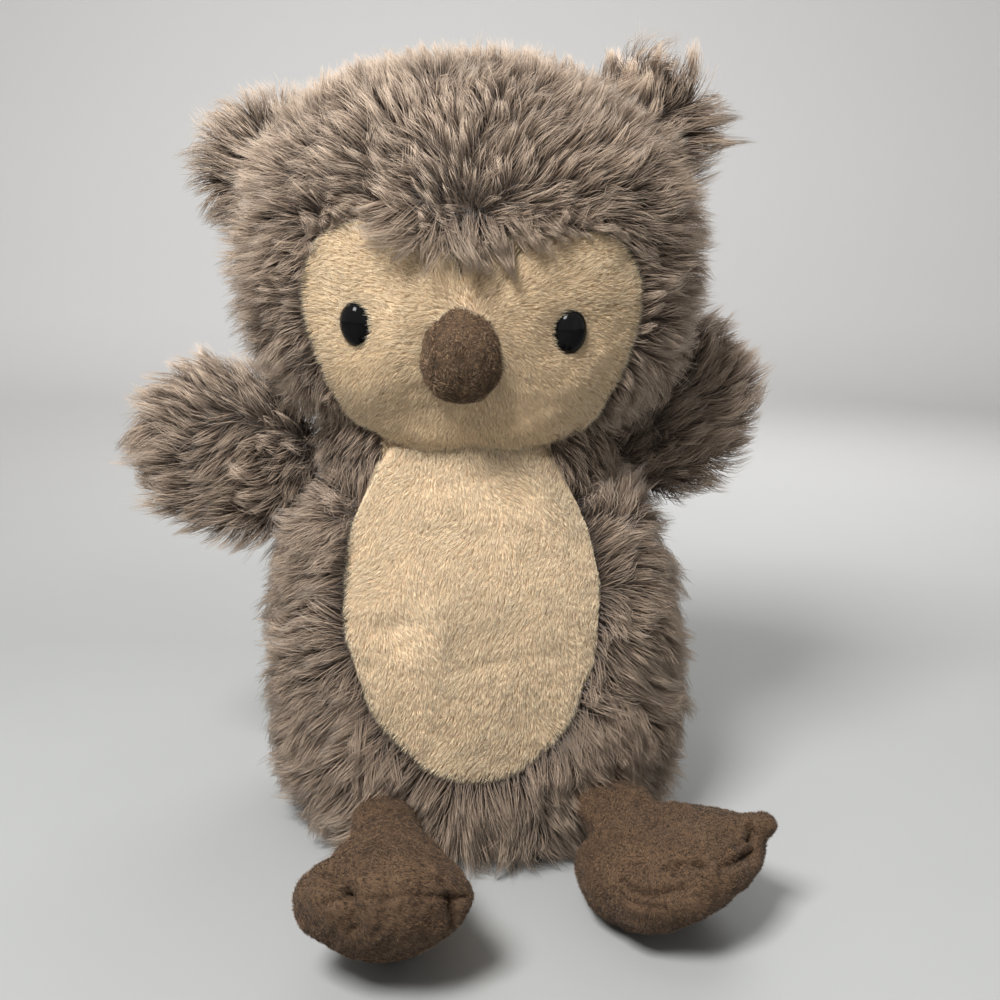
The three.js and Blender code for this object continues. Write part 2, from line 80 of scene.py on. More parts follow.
def drift(points: np.ndarray, size: float, seed: int, waves: int = 9) -> np.ndarray:
    """A smooth random field of about unit strength.

    Args:
        points: Places in mm, (N, 3).
        size: Typical distance between one swell and the next, in mm.
        seed: Seed of the field.
        waves: How many plane waves are summed.

    Returns:
        One value for each point.
    """
    rng = np.random.default_rng(seed)
    heading = unit(rng.normal(size=(waves, 3)))
    rate = 2 * math.pi / (size * rng.uniform(0.7, 1.5, waves))
    phase = rng.uniform(0, 2 * math.pi, waves)
    return np.sin(points @ (heading * rate[:, None]).T + phase).sum(axis=1) / math.sqrt(waves / 2)


def drift_vectors(points: np.ndarray, size: float, seed: int) -> np.ndarray:
    """Returns three independent drift fields as vectors, (N, 3)."""
    return np.stack([drift(points, size, seed + 101 * axis) for axis in range(3)], axis=1)


def tangent(vectors: np.ndarray, normals: np.ndarray) -> np.ndarray:
    """Returns the part of each vector that lies in the surface."""
    return vectors - normals * np.sum(vectors * normals, axis=1, keepdims=True)


def turn(axis: str, degrees: float) -> np.ndarray:
    """Returns the 4x4 rotation by some degrees about X, Y or Z."""
    return np.array(Matrix.Rotation(math.radians(degrees), 4, axis))


def shift(x: float, y: float, z: float) -> np.ndarray:
    """Returns the 4x4 move by x, y and z mm."""
    return np.array(Matrix.Translation((x, y, z)))


def moved(points: np.ndarray, place: np.ndarray) -> np.ndarray:
    """Returns the points (N, 3) carried by a 4x4 matrix."""
    return points @ place[:3, :3].T + place[:3, 3]


def mound(x: np.ndarray, z: np.ndarray, width: float, height: float, power: int = 2) -> np.ndarray:
    """Returns a smooth mound, 1 high, that spreads so far across and up from its middle."""
    return np.exp(-((x / width) ** power) - (z / height) ** 2)


def node_box(node: str) -> tuple[np.ndarray, np.ndarray]:
    """Returns the lowest and highest corner of a CAD node, in mm."""
    low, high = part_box(node)
    return np.array(low) / MM, np.array(high) / MM


def bearing(azimuth: float, elevation: float) -> np.ndarray:
    """A direction from the middle of a form.

    Args:
        azimuth: Degrees round the Z axis from X, seen from above.
        elevation: Degrees above the level.

    Returns:
        The unit vector, (1, 3).
    """
    around, above = math.radians(azimuth), math.radians(elevation)
    level = math.cos(above)
    return np.array([[level * math.cos(around), level * math.sin(around), math.sin(above)]])


# Forms


def untapered(share: np.ndarray) -> np.ndarray:
    """Returns the shares unchanged."""
    return share


@dataclass(frozen=True)
class SoftForm:
    """A closed rounded form that swells and tapers, in mm, with its poles on its own Z axis."""

    width: float
    depth: float
    height: float
    side: float
    top: float
    base: float
    place: np.ndarray
    taper: Callable[[np.ndarray], np.ndarray] = untapered
    depth_pressed: float = 1.0
    base_pressed: float = 1.0

    def halves(self, inset: float) -> np.ndarray:
        """Half of the form's size.

        Args:
            inset: How far inside the outer surface, in mm.

        Returns:
            Half of the width, depth and height.
        """
        return np.array(
            [
                self.width / 2 - inset,
                self.depth / 2 - inset * self.depth_pressed,
                (self.height - inset * (1 + self.base_pressed)) / 2,
            ]
        )

    def sunk(self, inset: float) -> np.ndarray:
        """Returns how far the middle moves where the base is inset less than the top."""
        return np.array([0, 0, (inset * self.base_pressed - inset) / 2])

    def points(self, directions: np.ndarray, inset: float = 0.0) -> np.ndarray:
        """The surface in the direction of unit vectors.

        Args:
            directions: Unit vectors in the form's own frame, (N, 3).
            inset: How far inside the outer surface, in mm.

        Returns:
            The points in the owl's frame, (N, 3).
        """
        level = np.hypot(directions[:, 0], directions[:, 1])
        rise = np.abs(directions[:, 2])
        power = np.where(directions[:, 2] > 0, self.top, self.base)
        upright = (level**power + rise**power) ** (-1 / power)
        flat = np.abs(directions[:, :2]) / np.maximum(level, 1e-9)[:, None]
        sideways = np.where(level > 1e-9, (flat**self.side).sum(axis=1) ** (-1 / self.side), 0)
        share = directions * upright[:, None]
        share[:, :2] *= sideways[:, None]
        return moved(self.taper(share) * self.halves(inset) + self.sunk(inset), self.place)

    def normals(self, directions: np.ndarray) -> np.ndarray:
        """The outward normals of the surface.

        Args:
            directions: Unit vectors in the form's own frame, (N, 3).

        Returns:
            The normals in the owl's frame, (N, 3).
        """
        side = unit(np.cross(directions, UP) + 1e-9)
        up = unit(np.cross(side, directions))
        here = self.points(directions)
        across = self.points(unit(directions + 0.01 * side)) - here
        along = self.points(unit(directions + 0.01 * up)) - here
        return unit(np.cross(along, across))

    def front_directions(self, x: np.ndarray, z: np.ndarray, inset: float) -> np.ndarray:
        """The directions of the front surface over places drawn in the form's own XZ plane.

        Args:
            x: Across, in mm from the form's middle.
            z: Up, in mm from the form's middle.
            inset: How far inside the outer surface, in mm.

        Returns:
            Unit vectors in the form's own frame, (N, 3).
        """
        half, sunk = self.halves(inset), self.sunk(inset)
        rise = np.clip((z - sunk[2]) / half[2], -0.995, 0.995)
        power = np.where(rise > 0, self.top, self.base)
        level = (1 - np.abs(rise) ** power) ** (1 / power)
        column = np.stack([np.ones_like(rise), np.ones_like(rise), rise], axis=1)
        narrow = self.taper(column)[:, 0]
        across = np.clip(x / half[0] / narrow, -0.995 * level, 0.995 * level)
        deep = -((level**self.side - np.abs(across) ** self.side) ** (1 / self.side))
        angle = np.arctan2(deep, across)
        flat = np.stack([np.cos(angle), np.sin(angle)], axis=1)
        sideways = (np.abs(flat) ** self.side).sum(axis=1) ** (-1 / self.side)
        reach = np.hypot(across, deep) / sideways
        return unit(np.stack([flat[:, 0] * reach, flat[:, 1] * reach, rise], axis=1))


@dataclass
class Surface:
    """A grid of points with its outward normals, as a mesh with quads."""

    points: np.ndarray
    normals: np.ndarray
    faces: list[tuple[int, ...]]


def globe(around: int, rings: int) -> tuple[np.ndarray, list[tuple[int, ...]]]:
    """Unit directions over a sphere and the faces that join them.

    Args:
        around: Columns round the Z axis.
        rings: Rows from pole to pole.

    Returns:
        The directions (N, 3), and the faces, wound outwards.
    """
    rows = np.linspace(-math.pi / 2, math.pi / 2, rings + 1)[1:-1]
    turns = np.linspace(0, 2 * math.pi, around, endpoint=False)
    ring, step = np.meshgrid(rows, turns, indexing="ij")
    grid = np.stack([np.cos(ring) * np.cos(step), np.cos(ring) * np.sin(step), np.sin(ring)], axis=-1)
    directions = np.concatenate([grid.reshape(-1, 3), [[0, 0, -1]], [[0, 0, 1]]])
    south, north = len(directions) - 2, len(directions) - 1
    faces: list[tuple[int, ...]] = []
    for i in range(around):
        j = (i + 1) % around
        faces.append((south, j, i))
        for row in range(rings - 2):
            low, high = row * around, (row + 1) * around
            faces.append((low + i, low + j, high + j, high + i))
        last = (rings - 2) * around
        faces.append((last + i, last + j, north))
    return directions, faces


def form_surface(form: SoftForm, inset: float, around: int, rings: int) -> Surface:
    """Returns the closed surface of a form at an inset, with so many columns and rows."""
    directions, faces = globe(around, rings)
    return Surface(form.points(directions, inset), form.normals(directions), faces)


def disc_faces(rings: int, around: int) -> list[tuple[int, ...]]:
    """The faces of a disc whose first point is its middle, wound towards the viewer in front.

    Args:
        rings: Rows from the middle to the rim.
        around: Points in each row.

    Returns:
        The point numbers of each face.
    """
    faces: list[tuple[int, ...]] = []
    for i in range(around):
        j = (i + 1) % around
        faces.append((0, 1 + i, 1 + j))
        for row in range(rings - 1):
            low, high = 1 + row * around, 1 + (row + 1) * around
            faces.append((low + i, high + i, high + j, low + j))
    return faces


def closed_spline(knots: np.ndarray, steps: int) -> np.ndarray:
    """A smooth closed line through knots.

    Args:
        knots: The places that it goes through, (N, 2).
        steps: How many points for each knot.

    Returns:
        The line's points, (N * steps, 2).
    """
    before, after, far = (np.roll(knots, count, axis=0) for count in (1, -1, -2))
    parts = []
    for t in np.linspace(0, 1, steps, endpoint=False):
        parts.append(
            0.5
            * (
                2 * knots
                + (after - before) * t
                + (2 * before - 5 * knots + 4 * after - far) * t * t
                + (3 * knots - before - 3 * after + far) * t**3
            )
        )
    return np.stack(parts, axis=1).reshape(-1, 2)


def outline_distance(places: np.ndarray, outline: np.ndarray) -> np.ndarray:
    """Distance to a closed outline, negative inside it.

    Args:
        places: Drawn places, (N, 2).
        outline: The closed line's points, (M, 2).

    Returns:
        One distance for each place.
    """
    start, end = outline, np.roll(outline, -1, axis=0)
    run = end - start
    offset = places[:, None, :] - start[None]
    share = np.clip((offset * run).sum(-1) / (run * run).sum(-1), 0, 1)
    near = np.linalg.norm(offset - share[..., None] * run[None], axis=-1).min(axis=1)
    crosses = (start[None, :, 1] > places[:, None, 1]) != (end[None, :, 1] > places[:, None, 1])
    rise = np.where(run[:, 1] == 0, 1e-9, run[:, 1])
    hit = start[:, 0] + (places[:, 1:2] - start[:, 1]) * run[:, 0] / rise
    inside = (crosses & (places[:, 0:1] < hit)).sum(axis=1) % 2 == 1
    return np.where(inside, -near, near)


# Materials


class Nodes:
    """Builds the nodes of one tree, one call for each."""

    def __init__(self, tree: bpy.types.NodeTree) -> None:
        """Keeps the tree that the nodes go in."""
        self.tree = tree

    def add(self, kind: str, **values: object) -> bpy.types.Node:
        """Adds a node and sets its properties and inputs.

        Args:
            kind: The node's type name.
            values: Properties by name, and inputs by their name with spaces as underscores.

        Returns:
            The new node.
        """
        node = self.tree.nodes.new(kind)
        for name, value in values.items():
            if hasattr(node, name):
                setattr(node, name, value)
            else:
                self.put(node.inputs[name.replace("_", " ")], value)
        return node

    def put(self, socket: bpy.types.NodeSocket, value: object) -> None:
        """Links or sets an input.

        Args:
            socket: The input.
            value: An output to link into it, or a plain value.
        """
        if isinstance(value, bpy.types.NodeSocket):
            self.tree.links.new(value, socket)
        elif isinstance(value, tuple) and len(value) == 3 and socket.type == "RGBA":
            socket.default_value = (*value, 1.0)
        else:
            socket.default_value = value

    def sums(
        self, operation: str, first: object, second: object = 0.0, clamp: bool = False
    ) -> bpy.types.NodeSocket:
        """Adds a Math node.

        Args:
            operation: What it works out.
            first: Its first input, an output or a number.
            second: Its second input, likewise.
            clamp: Whether the result stays between 0 and 1.

        Returns:
            The result.
        """
        node = self.tree.nodes.new("ShaderNodeMath")
        node.operation, node.use_clamp = operation, clamp
        self.put(node.inputs[0], first)
        self.put(node.inputs[1], second)
        return node.outputs[0]

    def blend(self, factor: object, first: object, second: object, way: str = "MIX") -> bpy.types.NodeSocket:
        """Adds a Mix node for colours.

        Args:
            factor: How much of the second colour, from 0 to 1.
            first: The first colour.
            second: The second colour.
            way: How they are mixed.

        Returns:
            The mixed colour.
        """
        node = self.tree.nodes.new("ShaderNodeMix")
        node.data_type, node.blend_type = "RGBA", way
        for slot, value in ((0, factor), (6, first), (7, second)):
            self.put(node.inputs[slot], value)
        return node.outputs[2]


Colour = tuple[float, float, float]


def shade_group(
    name: str, inputs: dict[str, object], outputs: dict[str, str]
) -> tuple[bpy.types.NodeTree, Nodes]:
    """A shader node group with named inputs and outputs.

    Args:
        name: The group's name.
        inputs: Default values by name. A tuple makes a colour and a number a plain value.
        outputs: Socket types by name.

    Returns:
        The group's tree and a builder for its nodes.
    """
    tree = bpy.data.node_groups.new(name, "ShaderNodeTree")
    for label, value in inputs.items():
        coloured = isinstance(value, tuple)
        kind = "NodeSocketColor" if coloured else "NodeSocketFloat"
        socket = tree.interface.new_socket(name=label, in_out="INPUT", socket_type=kind)
        socket.default_value = (*value, 1.0) if coloured else value
    for label, kind in outputs.items():
        tree.interface.new_socket(name=label, in_out="OUTPUT", socket_type=kind)
    return tree, Nodes(tree)


def build_strand_group() -> bpy.types.NodeTree:
    """A strand's colour: a dark root, partly painted shade deep in the pile, a lighter tip, and one strand
    unlike the next.

    Returns:
        The group. Along runs from 0 at the root to 1 at the tip, and Tint is the strand's own value.
    """
    tree, make = shade_group(
        "Strand colour",
        {"Root": (0.05, 0.04, 0.03), "Middle": (0.2, 0.16, 0.13), "Tip": (0.4, 0.34, 0.28), "Variation": 0.3},
        {"Colour": "NodeSocketColor"},
    )
    given = make.add("NodeGroupInput").outputs
    lie = make.add("ShaderNodeUVMap", uv_map="strand")
    parts = make.add("ShaderNodeSeparateXYZ", Vector=lie.outputs["UV"])
    tint, along = parts.outputs["X"], parts.outputs["Y"]
    # The dark root and the ramp out of it are partly painted shade deep in the pile.
    low = make.sums("MULTIPLY", along, 2.0, clamp=True)
    high = make.sums("SUBTRACT", make.sums("MULTIPLY", along, 2.0), 1.0, clamp=True)
    colour = make.blend(high, make.blend(low, given["Root"], given["Middle"]), given["Tip"])
    spread = make.sums("MULTIPLY", make.sums("SUBTRACT", tint, 0.5), given["Variation"])
    level = make.sums("ADD", 1.0, make.sums("MULTIPLY", spread, 2.0))
    grey = make.add("ShaderNodeCombineColor", Red=level, Green=level, Blue=level)
    out = make.add("NodeGroupOutput")
    make.put(out.inputs["Colour"], make.blend(1.0, colour, grey.outputs[0], "MULTIPLY"))
    return tree


def build_nap_group() -> bpy.types.NodeTree:
    """The mottled nap of brushed cloth: rubbed pale patches, dark flecks and fine grain.

    Returns:
        The group, with a colour and a height for bump.
    """
    tree, make = shade_group(
        "Brushed nap",
        {
            "Base": (0.1, 0.07, 0.05),
            "Rubbed": (0.16, 0.11, 0.08),
            "Fleck": (0.04, 0.03, 0.02),
            "Patch size": 9.0,
            "Grain size": 0.5,
            "Rubbed share": 0.5,
            "Fleck share": 0.35,
        },
        {"Colour": "NodeSocketColor", "Height": "NodeSocketFloat"},
    )
    given = make.add("NodeGroupInput").outputs
    place = make.add("ShaderNodeTexCoord").outputs["Object"]
    rate = make.sums("DIVIDE", 1 / MM, given["Patch size"])
    fine = make.sums("DIVIDE", 1 / MM, given["Grain size"])
    coarse = make.sums("MULTIPLY", fine, 0.37)
    patch = make.add(
        "ShaderNodeTexNoise", Vector=place, Scale=rate, Detail=4.0, Roughness=0.6, Distortion=0.4
    )
    grain = make.add(
        "ShaderNodeTexNoise", Vector=place, Scale=fine, Detail=3.0, Roughness=0.7, Distortion=0.8
    )
    fleck = make.add("ShaderNodeTexNoise", Vector=place, Scale=coarse, Detail=2.0)
    worn = make.sums("MULTIPLY", make.sums("SUBTRACT", patch.outputs[0], 0.42), 5.0, clamp=True)
    worn = make.sums("MULTIPLY", worn, given["Rubbed share"])
    dark = make.sums("MULTIPLY", make.sums("SUBTRACT", fleck.outputs[0], 0.52), 7.0, clamp=True)
    dark = make.sums("MULTIPLY", dark, given["Fleck share"])
    colour = make.blend(dark, make.blend(worn, given["Base"], given["Rubbed"]), given["Fleck"])
    level = make.sums("ADD", 0.55, make.sums("MULTIPLY", grain.outputs[0], 0.9))
    grey = make.add("ShaderNodeCombineColor", Red=level, Green=level, Blue=level)
    out = make.add("NodeGroupOutput")
    make.put(out.inputs["Colour"], make.blend(1.0, colour, grey.outputs[0], "MULTIPLY"))
    fine_relief = make.sums("MULTIPLY", grain.outputs[0], 0.7)
    coarse_relief = make.sums("MULTIPLY", patch.outputs[0], 0.3)
    make.put(out.inputs["Height"], make.sums("ADD", fine_relief, coarse_relief))
    return tree


STRAND_GROUP = build_strand_group()
NAP_GROUP = build_nap_group()


def new_material(name: str) -> tuple[bpy.types.Material, Nodes, bpy.types.Node]:
    """A fresh material.

    Args:
        name: The material's name.

    Returns:
        The material, a builder for its nodes and its Principled shader.
    """
    material = bpy.data.materials.new(name)
    material.use_nodes = True
    tree = material.node_tree
    return material, Nodes(tree), tree.nodes["Principled BSDF"]


@dataclass(frozen=True)
class PileFinish:
    """Strands of pile, coloured from a root darkened partly with painted shade to a lighter tip."""

    name: str
    root: Colour
    middle: Colour
    tip: Colour
    variation: float
    sheen: float = 0.15
    sheen_roughness: float = 0.5
    roughness: float = 0.62
    specular: float = 0.28

    def material(self) -> bpy.types.Material:
        """The finish as a material.

        Returns:
            The material, which reads the strand coordinates of its piece.
        """
        material, make, shader = new_material(self.name)
        group = make.add("ShaderNodeGroup", node_tree=STRAND_GROUP)
        for label, value in (("Root", self.root), ("Middle", self.middle), ("Tip", self.tip)):
            make.put(group.inputs[label], value)
        group.inputs["Variation"].default_value = self.variation
        make.put(shader.inputs["Base Color"], group.outputs["Colour"])
        shader.inputs["Roughness"].default_value = self.roughness
        shader.inputs["Specular IOR Level"].default_value = self.specular
        shader.inputs["Sheen Weight"].default_value = self.sheen
        shader.inputs["Sheen Roughness"].default_value = self.sheen_roughness
        return material


@dataclass(frozen=True)
class NapFinish:
    """Brushed or suede cloth with a mottled nap."""

    name: str
    base: Colour
    rubbed: Colour
    fleck: Colour
    patch: float = 9.0
    grain: float = 0.5
    rubbed_share: float = 0.5
    fleck_share: float = 0.35
    roughness: float = 0.85
    bump: float = 0.35
    bump_depth: float = 0.00015
    sheen: float = 0.3
    sheen_roughness: float = 0.45
    specular: float = 0.2

    def material(self) -> bpy.types.Material:
        """The finish as a material.

        Returns:
            The material, with its grain as bump.
        """
        material, make, shader = new_material(self.name)
        group = make.add("ShaderNodeGroup", node_tree=NAP_GROUP)
        for label, value in (
            ("Base", self.base),
            ("Rubbed", self.rubbed),
            ("Fleck", self.fleck),
            ("Patch size", self.patch),
            ("Grain size", self.grain),
            ("Rubbed share", self.rubbed_share),
            ("Fleck share", self.fleck_share),
        ):
            make.put(group.inputs[label], value)
        make.put(shader.inputs["Base Color"], group.outputs["Colour"])
        bump = make.add("ShaderNodeBump", Height=group.outputs["Height"], Distance=self.bump_depth)
        bump.inputs["Strength"].default_value = self.bump
        make.put(shader.inputs["Normal"], bump.outputs[0])
        shader.inputs["Roughness"].default_value = self.roughness
        shader.inputs["Specular IOR Level"].default_value = self.specular
        shader.inputs["Sheen Weight"].default_value = self.sheen
        shader.inputs["Sheen Roughness"].default_value = self.sheen_roughness
        return material


@dataclass(frozen=True)
class GlossFinish:
    """Hard moulded plastic with faint rubbing marks in its polish."""

    name: str
    colour: Colour
    roughness: float = 0.06
    marks: float = 0.05
    coat: float = 0.0
    coat_roughness: float = 0.03
    specular: float = 0.5

    def material(self) -> bpy.types.Material:
        """The finish as a material.

        Returns:
            The material, a little paler and rougher where it is rubbed.
        """
        material, make, shader = new_material(self.name)
        place = make.add("ShaderNodeTexCoord").outputs["Object"]
        rubs = make.add("ShaderNodeTexNoise", Vector=place, Scale=900.0, Detail=5.0, Roughness=0.7)
        depth = make.sums("MULTIPLY", rubs.outputs[0], self.marks)
        make.put(shader.inputs["Roughness"], make.sums("ADD", depth, self.roughness))
        lighter = tuple(value * 1.6 + 0.002 for value in self.colour)
        make.put(shader.inputs["Base Color"], make.blend(rubs.outputs[0], self.colour, lighter))
        shader.inputs["Coat Weight"].default_value = self.coat
        shader.inputs["Coat Roughness"].default_value = self.coat_roughness
        shader.inputs["Specular IOR Level"].default_value = self.specular
        return material


# Every pile's root is darker than its tip partly as painted shade deep in the pile; the cream roots are
# painted the orange-brown of that shade.
FUR = PileFinish(
    "Fur pile", root=(0.07, 0.048, 0.034), middle=(0.27, 0.197, 0.14), tip=(0.68, 0.53, 0.4), variation=0.32
)
CREAM = PileFinish(
    "Cream pile", root=(0.66, 0.45, 0.25), middle=(0.9, 0.71, 0.46), tip=(0.99, 0.86, 0.64), variation=0.13
)
# The belly's pile is the cream painted lighter: painted light that makes up for the weaker light on the
# belly.
BELLY_CREAM = PileFinish(
    "Belly pile", root=(0.76, 0.52, 0.31), middle=(0.98, 0.81, 0.56), tip=(1.0, 0.92, 0.73), variation=0.13
)
SUEDE_PILE = PileFinish(
    "Suede nap", root=(0.03, 0.017, 0.01), middle=(0.12, 0.07, 0.038), tip=(0.31, 0.195, 0.112),
    variation=0.75, sheen=0.03,
)
BEAK_PILE = PileFinish(
    "Beak nap", root=(0.055, 0.034, 0.02), middle=(0.22, 0.14, 0.08), tip=(0.5, 0.34, 0.21),
    variation=0.7, sheen=0.05,
)
FUR_BACKING = NapFinish(
    "Fur backing", base=(0.085, 0.06, 0.044), rubbed=(0.13, 0.095, 0.07), fleck=(0.045, 0.03, 0.022),
    sheen=0.1,
)
CREAM_BACKING = NapFinish(
    "Cream backing", base=(0.74, 0.57, 0.38), rubbed=(0.84, 0.68, 0.48), fleck=(0.5, 0.36, 0.21),
    patch=8.0, grain=0.6, rubbed_share=0.6, fleck_share=0.3, bump_depth=0.0003,
)
SUEDE = NapFinish(
    "Brown suede", base=(0.082, 0.048, 0.027), rubbed=(0.12, 0.073, 0.04), fleck=(0.022, 0.013, 0.008),
    patch=11.0, grain=0.4, fleck_share=0.7, sheen=0.05,
)
WADDING = NapFinish(
    "Wadding", base=(0.8, 0.78, 0.74), rubbed=(0.88, 0.86, 0.83), fleck=(0.66, 0.64, 0.6),
    patch=5.0, grain=0.8,
)
POUCH_CLOTH = NapFinish(
    "Pouch cloth", base=(0.78, 0.75, 0.69), rubbed=(0.84, 0.82, 0.77), fleck=(0.6, 0.57, 0.5),
    patch=4.0, grain=0.4,
)
PELLETS = NapFinish(
    "Pellets", base=(0.7, 0.68, 0.62), rubbed=(0.8, 0.78, 0.74), fleck=(0.4, 0.38, 0.34),
    patch=2.5, grain=1.4, bump_depth=0.0008,
)
WASHER_PLASTIC = GlossFinish("Washer plastic", (0.68, 0.68, 0.66), roughness=0.35, marks=0.2, coat=0.1)
EYE_GLOSS = GlossFinish("Black eye", (0.002, 0.002, 0.0022), marks=0.02, specular=0.08)


# Meshes


def new_object(
    name: str, points: np.ndarray, faces: Sequence[Sequence[int]], material: bpy.types.Material
) -> bpy.types.Object:
    """A smooth-shaded mesh object.

    Args:
        name: The piece's name.
        points: Vertices in mm, (N, 3).
        faces: Vertex numbers of each face.
        material: What it is made of.

    Returns:
        The object, in the scene.
    """
    mesh = bpy.data.meshes.new(name)
    mesh.from_pydata((points * MM).tolist(), [], faces)
    mesh.polygons.foreach_set("use_smooth", np.ones(len(mesh.polygons), dtype=bool))
    mesh.materials.append(material)
    mesh.update()
    thing = bpy.data.objects.new(name, mesh)
    bpy.context.scene.collection.objects.link(thing)
    return thing


def part_of(surface: Surface, keep: np.ndarray) -> Surface:
    """The part of a surface whose points are kept.

    Args:
        surface: The whole surface.
        keep: Whether each of its points is kept.

    Returns:
        The faces between kept points, with the points that they use.
    """
    faces = [face for face in surface.faces if all(keep[i] for i in face)]
    used = sorted({i for face in faces for i in face})
    place = {old: new for new, old in enumerate(used)}
    renumbered = [tuple(place[i] for i in face) for face in faces]
    return Surface(surface.points[used], surface.normals[used], renumbered)


def mesh_surface(mesh: bpy.types.Mesh) -> Surface:
    """A mesh as a surface.

    Args:
        mesh: The mesh, in metres.

    Returns:
        Its points in mm, its normals and its faces.
    """
    points, normals = np.empty(len(mesh.vertices) * 3), np.empty(len(mesh.vertices) * 3)
    mesh.vertices.foreach_get("co", points)
    mesh.vertices.foreach_get("normal", normals)
    faces = [tuple(face.vertices) for face in mesh.polygons]
    return Surface(points.reshape(-1, 3) / MM, normals.reshape(-1, 3), faces)


def tube_faces(knots: int) -> tuple[list[list[int]], list[list[int]]]:
    """The faces of one three-sided tube that narrows to a tip.

    Args:
        knots: Places along its centre line, the tip included.

    Returns:
        The faces with four sides, and those with three at the tip and the root.
    """
    quads = []
    for k in range(knots - 2):
        for a in range(3):
            b = (a + 1) % 3
            quads.append([3 * k + a, 3 * k + b, 3 * k + 3 + b, 3 * k + 3 + a])
    top, tip = 3 * (knots - 2), 3 * (knots - 1)
    caps = [[top + a, top + (a + 1) % 3, tip] for a in range(3)] + [[2, 1, 0]]
    return quads, caps


@dataclass
class Strands:
    """Strands of pile: centre lines (N, K, 3) and widths (N, K) in mm, and a tint from 0 to 1 for each."""

    lines: np.ndarray
    widths: np.ndarray
    tints: np.ndarray

    def kept(self, mask: np.ndarray) -> "Strands":
        """Returns only the strands that the mask keeps."""
        return Strands(self.lines[mask], self.widths[mask], self.tints[mask])

    def meshed(self, name: str, material: bpy.types.Material, seed: int) -> list[bpy.types.Object]:
        """Tapered three-sided tubes, one for each strand, in pieces of a limited size.

        Args:
            name: Name of the pieces, before their number.
            material: What they are made of.
            seed: Seed of the turn of each tube.

        Returns:
            The pieces.
        """
        pieces = []
        count = max(1, math.ceil(len(self.lines) / STRANDS_PER_PIECE))
        order = np.argsort(self.lines[:, 0, 2], kind="stable")
        LOG.info("%s: %d strands in %d pieces", name, len(self.lines), count)
        for number, chosen in enumerate(np.array_split(order, count)):
            part = Strands(self.lines[chosen], self.widths[chosen], self.tints[chosen])
            pieces.append(part._piece(f"{name}_{number + 1}", material, seed + number))
        return pieces

    def _points(self, seed: int) -> np.ndarray:
        """The points of the tubes, three round every knot but the last, and the last as a tip.

        Args:
            seed: Seed of the turn of each tube.

        Returns:
            The points in mm, (N, 3 * (K - 1) + 1, 3).
        """
        rng = np.random.default_rng(seed)
        total = len(self.lines)
        run = unit(np.gradient(self.lines, axis=1))
        across = unit(np.cross(run, rng.normal(size=(total, 1, 3))))
        over = np.cross(run, across)
        angles = np.arange(3) * 2 * math.pi / 3
        rings = self.lines[:, :-1, None, :] + self.widths[:, :-1, None, None] / 2 * (
            across[:, :-1, None, :] * np.cos(angles)[None, None, :, None]
            + over[:, :-1, None, :] * np.sin(angles)[None, None, :, None]
        )
        return np.concatenate([rings.reshape(total, -1, 3), self.lines[:, -1:, :]], axis=1)

    def _coordinates(self) -> np.ndarray:
        """The strand coordinates that a pile's finish reads.

        Returns:
            Each point's tint, a little apart round the tube, and its share of the way to the tip, (M, 2).
        """
        total, knots, _ = self.lines.shape
        share = np.append(np.repeat(np.linspace(0.02, 0.98, knots)[:-1], 3), 0.98)
        along = np.tile(share, total).reshape(total, -1)
        sway = np.append(np.tile([-0.004, 0.0, 0.004], knots - 1), 0.0)
        tint = np.clip(self.tints[:, None], 0.01, 0.99) + np.tile(sway, total).reshape(total, -1)
        return np.stack([tint.ravel(), along.ravel()], axis=1)

    def _piece(self, name: str, material: bpy.types.Material, seed: int) -> bpy.types.Object:
        """Builds one object from all of these strands.

        Args:
            name: The piece's name.
            material: What it is made of.
            seed: Seed of the turn of each tube.

        Returns:
            The object, in the scene, with its strand coordinates also laid out for baking.
        """
        points = self._points(seed)
        total, size, _ = points.shape
        quads, caps = tube_faces(self.lines.shape[1])
        start = np.arange(total)[:, None, None] * size
        sides = [(start + np.array(part)[None]).reshape(total, -1) for part in (quads, caps)]
        loops = np.concatenate(sides, axis=1).ravel()
        sizes = np.tile([4] * len(quads) + [3] * len(caps), total)
        starts = np.concatenate([[0], np.cumsum(sizes)[:-1]])
        mesh = bpy.data.meshes.new(name)
        mesh.vertices.add(total * size)
        mesh.vertices.foreach_set("co", (points * MM).astype(np.float32).ravel())
        mesh.loops.add(len(loops))
        mesh.loops.foreach_set("vertex_index", loops.astype(np.int32))
        mesh.polygons.add(len(sizes))
        mesh.polygons.foreach_set("loop_start", starts.astype(np.int32))
        mesh.polygons.foreach_set("use_smooth", np.ones(len(sizes), dtype=bool))
        coordinates = self._coordinates()[loops]
        for label in ("strand", "OFBake"):
            layer = mesh.uv_layers.new(name=label)
            layer.data.foreach_set("uv", coordinates.astype(np.float32).ravel())
        mesh.uv_layers["strand"].active_render = True
        mesh.materials.append(material)
        mesh.update(calc_edges=True)
        thing = bpy.data.objects.new(name, mesh)
        bpy.context.scene.collection.objects.link(thing)
        return thing


# Pile


@dataclass(frozen=True)
class Pile:
    """How a coat of pile grows: lengths and widths in mm, and shares without a unit.

    Lean is how far a strand lies over, curl how much more at its tip, and droop how much it hangs. Tufts and
    clumps are so far apart, and gather is how far their strands close up at the tip. Stray turns each strand
    at random, and clump_stray whole clumps.
    """

    density: float
    length: float
    width: float
    knots: int = 4
    lean: float = 0.8
    curl: float = 1.0
    tuft: float = 3.2
    gather: float = 0.6
    clump: float = 9.0
    clump_gather: float = 0.25
    stray: float = 0.22
    clump_stray: float = 0.3
    droop: float = 0.0
    length_spread: float = 0.22
    tint_spread: float = 0.22
    tint_patch: float = 0.1


@dataclass
class Roots:
    """Places where strands grow, with the surface's normals there, in mm."""

    points: np.ndarray
    normals: np.ndarray

    def kept(self, mask: np.ndarray) -> "Roots":
        """Returns only the roots that the mask keeps."""
        return Roots(self.points[mask], self.normals[mask])


